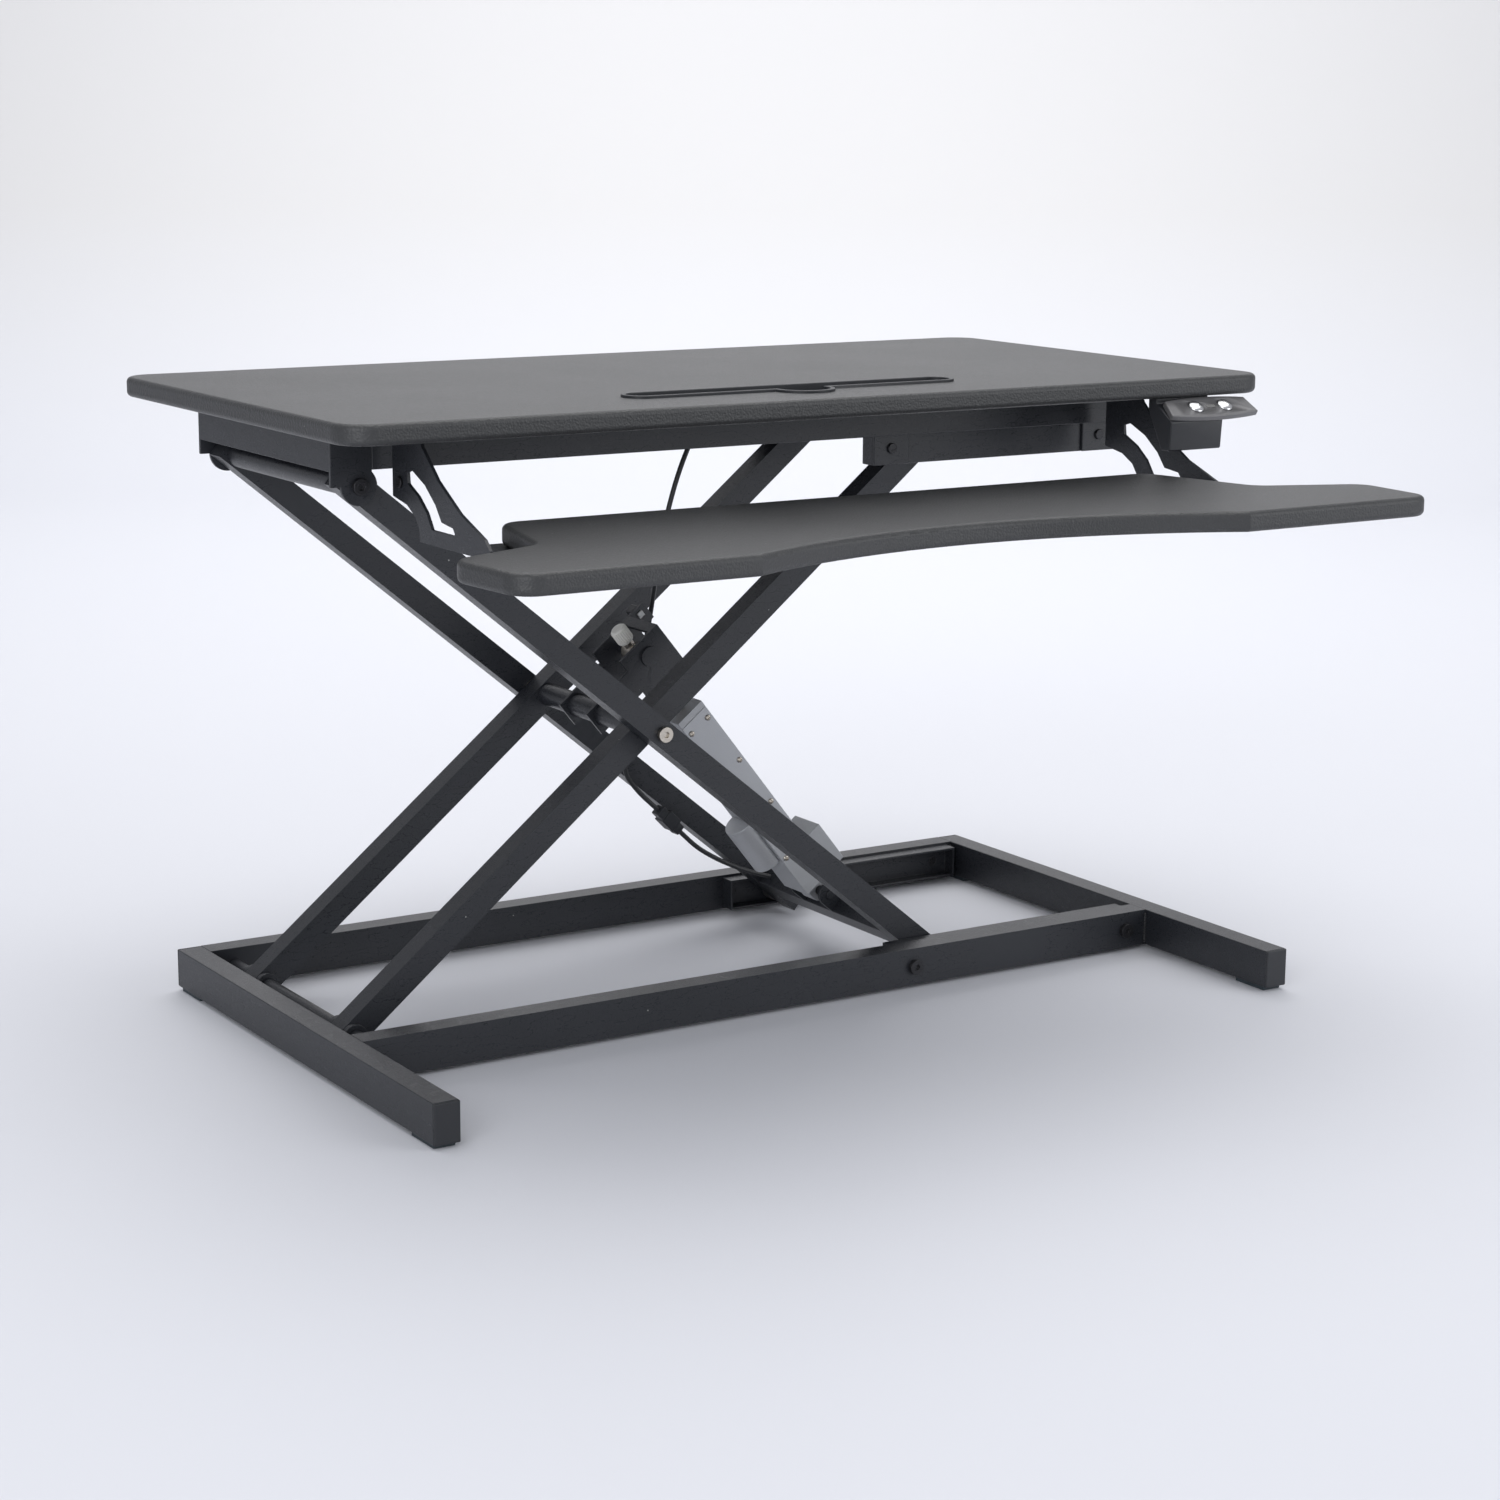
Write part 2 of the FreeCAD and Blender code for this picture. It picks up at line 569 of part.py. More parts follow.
def make_board():
    """The desk board with rounded corners and edges, and the holder tray let into it."""
    half = "board_wide / 2"
    corners = [("-" + half, 0), (half, 0), (half, "board_deep"), ("-" + half, "board_deep")]
    board = padded("XY_Plane", [corners], "board_thick", at=(0, "board_y", "under_z"))
    round_edges(board, "board_corner", lambda edge: along(edge, "z"))
    top = size("board_thick")
    round_edges(board, "board_round", lambda edge: edge.BoundBox.ZMin > top - 0.01
                or edge.BoundBox.ZMax < 0.01)
    bottom = "board_z - insert_deep"
    hole = insert_shape(0, "insert_deep", bottom)
    keep(cut(board, hole), "desk_board")
    strip = insert_shape(0, "insert_deep + insert_lip", bottom)
    trough = insert_shape("insert_rim", "insert_deep + insert_lip",
                          "board_z - insert_deep + insert_wall")
    keep(cut(strip, trough), "holder_slot")


def insert_shape(inset, high, z):
    """A long strip with round ends and a round bulge at its middle front, drawn in by inset."""
    half = "(insert_wide / 2 - (%s))" % inset
    straight = "(insert_long - insert_wide)"
    bulge = "bulge_rad - (%s)" % inset
    disc = rod(bulge, high, (0, "insert_y - insert_wide / 2", z), "Z")
    behind = block("2 * bulge_rad", "2 * bulge_rad", high, ("-bulge_rad", "insert_y", z))
    return fuse(block(straight, "2 * " + half, high,
                      ("-%s / 2" % straight, "insert_y - " + half, z)),
                rod(half, high, ("-%s / 2" % straight, "insert_y", z), "Z"),
                rod(half, high, (straight + " / 2", "insert_y", z), "Z"),
                cut(disc, behind))


def make_tray():
    """The keyboard tray: a narrow rear, two wings and a shallow curve at the front."""
    side = [("neck_half", "tray_rear"), ("neck_low_half", "-neck_front"),
            ("wing_half", "-wing_back"), ("front_half", "-tray_reach")]
    right = list(side)
    left = [("-" + x, y) for x, y in reversed(side)]
    tray = padded("XY_Plane", [left + right], "tray_thick", at=(0, "foot_y", "tray_z"))
    pocket(tray, "XY_Plane", "tray_thick",
           circles=[(0, "cut_deep - tray_reach - cut_rad", "cut_rad")])
    round_edges(tray, "tray_corner", lambda edge: along(edge, "z")
                and abs(edge.Vertexes[0].X) > size("neck_half") - 1)
    top = size("tray_thick")
    round_edges(tray, "tray_round", lambda edge: edge.BoundBox.ZMin > top - 0.01
                or edge.BoundBox.ZMax < 0.01)
    keep(tray, "keyboard_tray")
    for label, sign in (("left_tray_bracket", -1), ("right_tray_bracket", 1)):
        tray_bracket(label, sign)


def tray_bracket(label, sign):
    """A folded steel bracket: a blade and a strap round a window, and a foot under the tray."""
    top = "under_z - tray_z"
    outline = [("172", top), ("132", top), ("126", "64"), ("102", "43"), ("69", "24"),
               ("34", "11"), ("26", "4"), ("26", "-sheet_thick"), ("130", "-sheet_thick"),
               ("131", "6"), ("137", "14"), ("150", "21"), ("172", "25")]
    window = [("141", "46"), ("149", "44"), ("148", "36"), ("133", "29"), ("120", "19"),
              ("112", "8"), ("76", "8"), ("80", "13"), ("97", "15"), ("106", "26"), ("122", "38")]
    outer = "-bracket_x" if sign < 0 else "bracket_x - sheet_thick"
    plate = padded("YZ_Plane", [outline, window], "sheet_thick", at=(outer, "foot_y", "tray_z"))
    round_edges(plate, "bracket_round", lambda edge: along(edge, "x")
                and not edge.BoundBox.ZMin < 0.1
                and edge.BoundBox.ZMax < size("under_z") - size("tray_z") - 0.1)
    foot_x = "-bracket_x" if sign < 0 else "bracket_x - foot_wide"
    foot = block("foot_wide", "bracket_foot_long", "sheet_thick",
                 (foot_x, "foot_y + bracket_foot_y", "tray_z - sheet_thick"))
    head_x = "-bracket_x" if sign < 0 else "bracket_x - bracket_head_wide"
    head = block("bracket_head_wide", "bracket_head_long", "sheet_thick",
                 (head_x, "foot_y + bracket_head_y", "under_z - sheet_thick"))
    keep(fuse(plate, foot, head), label)


def bracket_screws():
    """The screws that hold the brackets to the tray and to the board, and one on each side."""
    heads = []
    foot_y = "foot_y + bracket_foot_y"
    head_y = "foot_y + bracket_head_y"
    for sign in (-1, 1):
        for y in (foot_y + " + screw_in", foot_y + " + bracket_foot_long - screw_in"):
            x = "%d * (bracket_x - foot_wide + screw_in)" % sign
            heads.append(screw(x, y, "tray_z - sheet_thick - screw_high", "Z"))
        for y in (head_y + " + screw_in", head_y + " + bracket_head_long - screw_in"):
            x = "%d * (bracket_x - bracket_head_wide / 2)" % sign
            heads.append(screw(x, y, "under_z - sheet_thick - screw_high", "Z"))
        side_x = "-bracket_x - screw_high" if sign < 0 else "bracket_x"
        heads.append(screw(side_x, "foot_y + bracket_bolt_y", "tray_z + bracket_bolt_z", "X"))
    return heads


# ---- handset -------------------------------------------------------------------------

def make_handset():
    """The height control under the right front of the board, with two push buttons."""
    rear = "hand_deep * cos(hand_slope)"
    outline = [("hand_lip * cos(hand_slope)", "hand_lip * sin(hand_slope)"),
               (rear, "hand_deep * sin(hand_slope)"), (rear, "hand_low"),
               ("%s + hand_back" % rear, "hand_low"),
               ("%s + hand_back" % rear, "hand_low - hand_step"),
               ("hand_foot_back", "-hand_drop"), ("hand_foot_front", "-hand_drop")]
    body = padded("YZ_Plane", [outline], "hand_body_wide", at=("hand_left", "panel_y", "panel_z"))
    round_edges(body, "hand_round", lambda edge: along(edge, "x") and edge.BoundBox.ZMax < -1)
    keep(body, "handset_body")
    slope = ((1, 0, 0), "hand_slope")
    corner = ("hand_left", "panel_y", "panel_z")
    bar = block("hand_wide", "hand_deep", "hand_thick")
    spots = ["hand_wide / 2 - button_apart / 2", "hand_wide / 2 + button_apart / 2"]
    holes = [rod("button_rad + button_gap", "hand_thick", (x, "hand_deep / 2", 0), "Z")
             for x in spots]
    window = block("window_long", "window_wide", "window_deep",
                   ("(hand_wide - window_long) / 2", "(hand_deep - window_wide) / 2",
                    "hand_thick - window_deep"))
    keep(cut(bar, window, *holes, at=corner, turn=slope), "handset_panel")
    for label, x in zip(("button_down", "button_up"), spots):
        plug = rod("button_rad", "hand_thick + button_lift - button_floor",
                   (x, "hand_deep / 2", "button_floor"), "Z")
        keep(seat(plug, corner, slope), label)


# ---- actuator ------------------------------------------------------------------------

def make_actuator():
    """The linear actuator between the inner arms' bracket and the outer arms' lower beam."""
    top = ("act_top_x", "mid_y", "act_top_z")
    down = ((0, 1, 0), "act_angle")
    half = "case_wide / 2"
    case = block("case_long - case_cap", "case_wide", "case_high",
                 ("case_start + case_cap", "-case_wide / 2", "-case_high / 2"))
    channel = rod("rod_rad + fit_gap", "rod_room", ("case_start", 0, 0), "X")
    keep(cut(case, channel, at=top, turn=down), "actuator_case")
    end = fuse(rod("case_high / 2 - 1", half, ("case_start + case_high / 2", "-case_wide / 4", 0)),
               block("case_cap", "case_wide", "case_high",
                     ("case_start", "-case_wide / 2", "-case_high / 2")))
    trim = block("case_high", "case_wide", "case_high",
                 ("case_start + case_cap", "-case_wide / 2", "-case_high / 2"))
    keep(cut(end, trim, channel, at=top, turn=down), "case_end_cap")
    gear_start = "case_start + case_long"
    gear = block("gear_long", "case_wide", "gear_up + gear_down",
                 (gear_start, "-case_wide / 2", "-gear_down"))
    arm = block("act_span - (%s) - gear_long" % gear_start, "eye_wide", "2 * lug_rad",
                ("%s + gear_long" % gear_start, "-eye_wide / 2", "-lug_rad"))
    lug = rod("lug_rad", "eye_wide", ("act_span", "-eye_wide / 2", 0))
    eye = rod("pin_rad + fit_gap", "eye_wide", ("act_span", "-eye_wide / 2", 0))
    keep(cut(fuse(gear, arm, lug), eye, channel, at=top, turn=down), "gear_housing")
    motor_start = "%s - motor_long" % gear_start
    motor = rod("motor_rad", "motor_long", (motor_start, 0, "-motor_off"), "X")
    bed = block("case_long", "case_wide", "case_high",
                 ("case_start", "-case_wide / 2", "-case_high / 2"))
    keep(cut(motor, bed, at=top, turn=down), "lift_motor")
    shank = rod("rod_rad", "case_start + rod_in", (0, 0, 0), "X")
    neck = rod("pin_rad", "cap_out", ("eye_rad - cap_out", 0, 0), "X")
    ring = rod("eye_rad", "eye_wide", (0, "-eye_wide / 2", 0))
    hollow = rod("pin_rad + loose_gap", "eye_wide", (0, "-eye_wide / 2", 0))
    keep(cut(fuse(shank, neck, ring), hollow, at=top, turn=down), "lift_rod")
    cap = rod("cap_rad", "cap_long", ("eye_rad - cap_out - cap_long", 0, 0), "X")
    keep(seat(cap, top, down), "rod_cap")
    lift_bracket()
    lower_clevis()


def lift_bracket():
    """Two plates on the inner arms' middle tie that hold the upper pin of the actuator."""
    outline = [("-cheek_back", "-cheek_neck_half"), ("cheek_neck", "-cheek_neck_half"),
               ("cheek_neck", "-cheek_half"), ("cheek_end", "-cheek_half"),
               ("cheek_end", "cheek_half"), ("cheek_neck", "cheek_half"),
               ("cheek_neck", "cheek_neck_half"), ("-cheek_back", "cheek_neck_half")]
    spot = ("cross_x", "mid_y", "cross_z")
    tilt = ((0, 1, 0), "-lift_angle")
    pin_long = "cheek_y + cheek_thick + pin_out - (eye_wide / 2 + pin_gap)"
    pieces = []
    for y, pin_y, head_y in (
            ("cheek_y", "eye_wide / 2 + pin_gap", "cheek_y + cheek_thick"),
            ("-cheek_y - cheek_thick", "-cheek_y - cheek_thick - pin_out",
             "-cheek_y - cheek_thick - pin_out")):
        pieces.append(padded("XZ_Plane", [outline], "cheek_thick", circles=[(0, 0, "tie_rad")],
                             at=(0, y, 0)))
        pieces.append(rod("pin_rad", pin_long, ("pin_along", pin_y, "pin_off")))
        pieces.append(rod("eye_rad", "pin_out", ("pin_along", head_y, "pin_off")))
    pieces.append(block("web_long", "2 * cheek_y", "cheek_thick",
                        ("cheek_end - web_long", "-cheek_y", "cheek_half - cheek_thick")))
    pieces.append(block("block_long", "cheek_thick", "block_high",
                        ("cheek_end", "cheek_y", "cheek_half - block_high")))
    keep(fuse(*pieces, at=spot, turn=tilt), "lift_bracket")
    plug = fuse(block("block_long", "block_deep", "block_high - block_gap",
                      ("cheek_end", "cheek_y + cheek_thick", "cheek_half - block_high")),
                block("block_long / 2", "block_deep + grip_more", "block_high",
                      ("cheek_end + block_gap", "cheek_y + cheek_thick",
                       "cheek_half - block_high")))
    keep(seat(plug, spot, tilt), "cable_block")


def lower_clevis():
    """Two plates on the lower beam and the pin that the actuator's lug turns on."""
    spot = ("low_x", "mid_y", "high_z")
    tilt = ((0, 1, 0), "lift_angle")
    pieces = []
    for y in ("cheek_y", "-cheek_y - cheek_thick"):
        pieces.append(block("beam_start - foot_along", "cheek_thick", "arm_size",
                            ("foot_along", y, "-arm_size / 2")))
        pieces.append(rod("arm_size / 2", "cheek_thick", ("foot_along", y, 0)))
    pin_long = "2 * (cheek_y + cheek_thick + pin_out)"
    pieces.append(rod("pin_rad", pin_long, ("foot_along", "-(%s) / 2" % pin_long, 0)))
    keep(fuse(*pieces, at=spot, turn=tilt), "lower_clevis")


# ---- control box and cables ----------------------------------------------------------

def make_control():
    """The control box under the board, its mains inlet and its lift cables."""
    keep(block("box_wide", "box_deep", "box_high", ("box_x", "box_y", "under_z - box_high")),
         "control_box")
    inlet_y = "box_y + box_deep"
    inlet_z = "under_z - (box_high + inlet_high) / 2"
    inlet = cut(block("inlet_wide", "inlet_long", "inlet_high",
                      ("box_x + (box_wide - inlet_wide) / 2", inlet_y, inlet_z)),
                rod("inlet_rad", "inlet_long - inlet_floor",
                    ("box_x + box_wide / 2", "%s + inlet_floor" % inlet_y,
                     "under_z - box_high / 2")))
    keep(inlet, "power_inlet")
    foot = size("foot_y")
    high = size("high_z")
    start = size("box_x")
    upper = [(start, 300, 29), (start - 18, 300, 28), (start - 34, 301, 7),
             (start - 48, 301, -23), (start - 57, 303, -55), (start - 60, 312, -94),
             (start - 54, 332, -134), (start - 48, 353, -171), (start - 47, 371, -207),
             (start - 47, 384, -241), (start - 46, 388, -266)]
    middle = [(start - 46, 388, -266), (start - 45.3, 390.8, -283.5), (start - 32, 390, -301),
              (start - 15, 388, -317)]
    lower = [(start + 5, 388, -337), (start + 24, 388, -355), (start + 45, 387, -368),
             (start + 68, 384, -379), (start + 92, 380, -387)]
    for label, points in (("lift_cable_upper", upper), ("lift_cable_middle", middle),
                          ("lift_cable_lower", lower)):
        route = [FreeV(x, y + foot, z + high) for x, y, z in points]
        keep(cable(label, route, size("cable_rad")), label)
    ends = (middle[-1], lower[0])
    plug_long = math.dist(ends[0], ends[1])
    lean = math.degrees(math.atan2(ends[0][2] - ends[1][2], ends[1][0] - ends[0][0]))
    holder = fuse(block(plug_long, "plug_wide", "plug_high", (0, "-plug_wide / 2", "-plug_high / 2")),
                  block(plug_long / 2, "plug_wide + grip_more", "plug_high + grip_more",
                        (plug_long / 4, "-(plug_wide + grip_more) / 2",
                         "-(plug_high + grip_more) / 2")),
                  at=("%s" % ends[0][0], "foot_y + %s" % ends[0][1], "high_z + (%s)" % ends[0][2]),
                  turn=((0, 1, 0), lean))
    keep(holder, "cable_connector")


def cable(label, route, radius):
    """A round cable along straight runs joined by tangent arcs."""
    edges = []
    last = route[0]
    for before, corner, after in zip(route, route[1:], route[2:]):
        run_in = corner - before
        run_out = after - corner
        turn = run_in.getAngle(run_out)
        bend = 0.45 * min(run_in.Length, run_out.Length) / math.tan(turn / 2)
        reach = bend * math.tan(turn / 2)
        into = corner - run_in.normalize() * reach
        out = corner + run_out.normalize() * reach
        toward = (into + out) * 0.5 - corner
        middle = corner + toward.normalize() * (bend / math.cos(turn / 2) - bend)
        edges.append(Part.LineSegment(last, into).toShape())
        edges.append(Part.Arc(into, middle, out).toShape())
        radii.append((label, round(bend, 1)))
        last = out
    edges.append(Part.LineSegment(last, route[-1]).toShape())
    path = Part.Wire(edges)
    circle = Part.Wire([Part.makeCircle(radius, route[0], route[1] - route[0])])
    tube = Part.Wire(path).makePipeShell([circle], True, True)
    wanted = math.pi * radius ** 2 * path.Length
    if abs(tube.Volume - wanted) > wanted * 0.02:
        raise ValueError("%s has the wrong volume" % label)
    print("%s length %.1f" % (label, path.Length))
    item = doc.addObject("Part::Feature", label)
    item.Shape = tube
    return item


# ---- build and write -----------------------------------------------------------------

def main():
    """Build every sub-part, check it and write its STEP file."""
    make_base()
    hinge_shaft()
    make_scissor()
    make_frame()
    make_board()
    make_tray()
    make_handset()
    make_actuator()
    make_control()
    doc.recompute()
    for item in doc.Objects:
        if "Invalid" in item.State or "Error" in item.State:
            raise ValueError("%s failed: %s" % (item.Label, item.State))
    for item in nodes:
        if item.Shape.isNull() or not item.Shape.isValid():
            raise ValueError("%s has no valid shape" % item.Label)
    print("radii", radii)
    os.makedirs("parts", exist_ok=True)
    whole = FreeCAD.BoundBox()
    for item in nodes:
        item.Shape.exportStep("parts/%s.step" % item.Label)
        whole.add(item.Shape.BoundBox)
    print("nodes", len(nodes), "box", whole)


main()
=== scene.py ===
import logging
import math
from dataclasses import dataclass
from enum import Enum

import bmesh
import bpy
from mathutils import Matrix, Vector


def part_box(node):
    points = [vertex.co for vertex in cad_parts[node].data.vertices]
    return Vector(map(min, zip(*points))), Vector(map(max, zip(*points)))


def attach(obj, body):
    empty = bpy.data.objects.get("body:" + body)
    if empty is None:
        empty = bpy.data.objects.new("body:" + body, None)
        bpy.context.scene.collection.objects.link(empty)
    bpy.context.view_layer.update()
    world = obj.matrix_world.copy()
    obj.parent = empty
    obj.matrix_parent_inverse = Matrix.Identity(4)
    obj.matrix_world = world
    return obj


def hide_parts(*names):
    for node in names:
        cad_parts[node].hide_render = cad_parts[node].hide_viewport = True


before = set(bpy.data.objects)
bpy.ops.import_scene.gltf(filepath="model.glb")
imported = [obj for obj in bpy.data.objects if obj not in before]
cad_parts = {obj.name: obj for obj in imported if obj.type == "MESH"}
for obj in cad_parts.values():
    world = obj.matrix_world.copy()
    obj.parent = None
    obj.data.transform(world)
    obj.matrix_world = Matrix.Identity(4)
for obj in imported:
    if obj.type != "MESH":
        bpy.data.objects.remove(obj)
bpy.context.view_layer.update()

logging.basicConfig(level=logging.INFO, format="%(message)s")
log = logging.getLogger("desk_converter")

MM = 0.001
Colour = tuple[float, float, float]
Point = tuple[float, float, float]


class Body(Enum):
    """The moving bodies that pieces ride on."""

    BASE = "base"
    INNER = "inner_arms"
    OUTER = "outer_arms"
    DESK = "desk"
    ACTUATOR = "actuator"
    ROD = "rod"
    DOWN = "button_down"
    UP = "button_up"


class Grain(Enum):
    """The surface textures of the shared grain group: its scale, and its stretch along Y."""

    PEBBLE = (620.0, 1.0)
    ORANGE_PEEL = (900.0, 1.0)
    SPARK = (2600.0, 1.0)
    DRAWN = (1400.0, 0.04)


# ---- shader groups that several finishes share ---------------------------------------


def math_node(tree: bpy.types.NodeTree, way: str, *values: object,
              clamp: bool = False) -> bpy.types.NodeSocket:
    """Add a Math node.

    Args:
        tree: the tree that gets it.
        way: the operation.
        values: sockets or numbers, in the order of its inputs.
        clamp: keep the result from 0 to 1.

    Returns:
        The result's socket.
    """
    made = tree.nodes.new("ShaderNodeMath")
    made.operation = way
    made.use_clamp = clamp
    for spot, value in enumerate(values):
        if isinstance(value, bpy.types.NodeSocket):
            tree.links.new(value, made.inputs[spot])
        else:
            made.inputs[spot].default_value = value
    return made.outputs[0]


class ShaderGroup:
    """A shader node group with named inputs and outputs."""

    def __init__(self, name: str, inputs: dict[str, float], outputs: dict[str, str]) -> None:
        """Make the group and its sockets.

        Args:
            name: the group's name.
            inputs: each input's name and its usual value.
            outputs: each output's name and its socket type.
        """
        self.tree = bpy.data.node_groups.new(name, "ShaderNodeTree")
        for label, value in inputs.items():
            socket = self.tree.interface.new_socket(
                label, in_out="INPUT", socket_type="NodeSocketFloat")
            socket.default_value = value
        for label, kind in outputs.items():
            self.tree.interface.new_socket(label, in_out="OUTPUT", socket_type=kind)
        self.start = self.tree.nodes.new("NodeGroupInput")
        self.end = self.tree.nodes.new("NodeGroupOutput")

    def node(self, kind: str, **values: object) -> bpy.types.Node:
        """Add a node and set its properties."""
        made = self.tree.nodes.new(kind)
        for label, value in values.items():
            setattr(made, label, value)
        return made

    def link(self, source: bpy.types.NodeSocket, target: bpy.types.NodeSocket) -> None:
        """Join two sockets."""
        self.tree.links.new(source, target)

    def math(self, way: str, first: object, second: object) -> bpy.types.NodeSocket:
        """Add a Math node on two sockets or numbers, and give its result's socket."""
        return math_node(self.tree, way, first, second)


def grain_group() -> bpy.types.ShaderNodeTree:
    """Build the grain group: soft cells and noise at one scale, as a height and a mask."""
    group = ShaderGroup("surface_grain", {"Scale": 600.0, "Cells": 0.6, "Flow": 1.0},
                        {"Height": "NodeSocketFloat", "Mask": "NodeSocketFloat"})
    spot = group.node("ShaderNodeTexCoord").outputs["Object"]
    stretch = group.node("ShaderNodeVectorMath", operation="MULTIPLY")
    axes = group.node("ShaderNodeCombineXYZ")
    axes.inputs["X"].default_value = 1.0
    axes.inputs["Z"].default_value = 1.0
    group.link(group.start.outputs["Flow"], axes.inputs["Y"])
    group.link(spot, stretch.inputs[0])
    group.link(axes.outputs[0], stretch.inputs[1])
    cells = group.node("ShaderNodeTexVoronoi", feature="SMOOTH_F1")
    cells.inputs["Smoothness"].default_value = 0.8
    noise = group.node("ShaderNodeTexNoise")
    noise.inputs["Detail"].default_value = 4.0
    for texture in (cells, noise):
        group.link(stretch.outputs[0], texture.inputs["Vector"])
        group.link(group.start.outputs["Scale"], texture.inputs["Scale"])
    raised = group.math("MULTIPLY", cells.outputs["Distance"], group.start.outputs["Cells"])
    height = group.math("ADD", raised, noise.outputs["Fac"])
    group.link(height, group.end.inputs["Height"])
    group.link(noise.outputs["Fac"], group.end.inputs["Mask"])
    return group.tree


def dust_group() -> bpy.types.ShaderNodeTree:
    """Build the dust group: scattered pale specks and a broad uneven film."""
    group = ShaderGroup("dust_and_film", {"Scale": 90.0, "Specks": 0.5, "Film": 0.5},
                        {"Specks": "NodeSocketFloat", "Film": "NodeSocketFloat"})
    spot = group.node("ShaderNodeTexCoord").outputs["Object"]
    cells = group.node("ShaderNodeTexVoronoi", feature="F1")
    group.link(spot, cells.inputs["Vector"])
    group.link(group.start.outputs["Scale"], cells.inputs["Scale"])
    near = group.math("LESS_THAN", cells.outputs["Distance"], 0.045)
    pick = group.node("ShaderNodeSeparateColor")
    group.link(cells.outputs["Color"], pick.inputs[0])
    few = group.math("GREATER_THAN", pick.outputs[0], 0.93)
    specks = group.math("MULTIPLY", group.math("MULTIPLY", near, few),
                        group.start.outputs["Specks"])
    broad = group.node("ShaderNodeTexNoise")
    broad.inputs["Scale"].default_value = 7.0
    broad.inputs["Detail"].default_value = 5.0
    group.link(spot, broad.inputs["Vector"])
    film = group.math("MULTIPLY", broad.outputs["Fac"], group.start.outputs["Film"])
    group.link(specks, group.end.inputs["Specks"])
    group.link(film, group.end.inputs["Film"])
    return group.tree


def wear_group() -> bpy.types.ShaderNodeTree:
    """Build the wear group: fine long scratches where two stretched noises meet."""
    group = ShaderGroup("handling_wear", {"Scale": 40.0, "Amount": 0.3},
                        {"Wear": "NodeSocketFloat"})
    spot = group.node("ShaderNodeTexCoord").outputs["Object"]
    marks = None
    for stretch in ((1.0, 14.0, 3.0), (13.0, 1.5, 9.0)):
        place = group.node("ShaderNodeMapping")
        place.inputs["Scale"].default_value = stretch
        noise = group.node("ShaderNodeTexNoise")
        noise.inputs["Detail"].default_value = 6.0
        group.link(spot, place.inputs["Vector"])
        group.link(place.outputs[0], noise.inputs["Vector"])
        group.link(group.start.outputs["Scale"], noise.inputs["Scale"])
        line = group.math("LESS_THAN", group.math(
            "ABSOLUTE", group.math("SUBTRACT", noise.outputs["Fac"], 0.5), 0.0), 0.006)
        marks = line if marks is None else group.math("MAXIMUM", marks, line)
    group.link(group.math("MULTIPLY", marks, group.start.outputs["Amount"]),
               group.end.inputs["Wear"])
    return group.tree


GRAIN = grain_group()
DUST = dust_group()
WEAR = wear_group()


# ---- finishes ------------------------------------------------------------------------

GRAIN_TINT = 0.55
TINT_START = 0.3
SPECK_COLOUR = (0.62, 0.62, 0.6, 1.0)


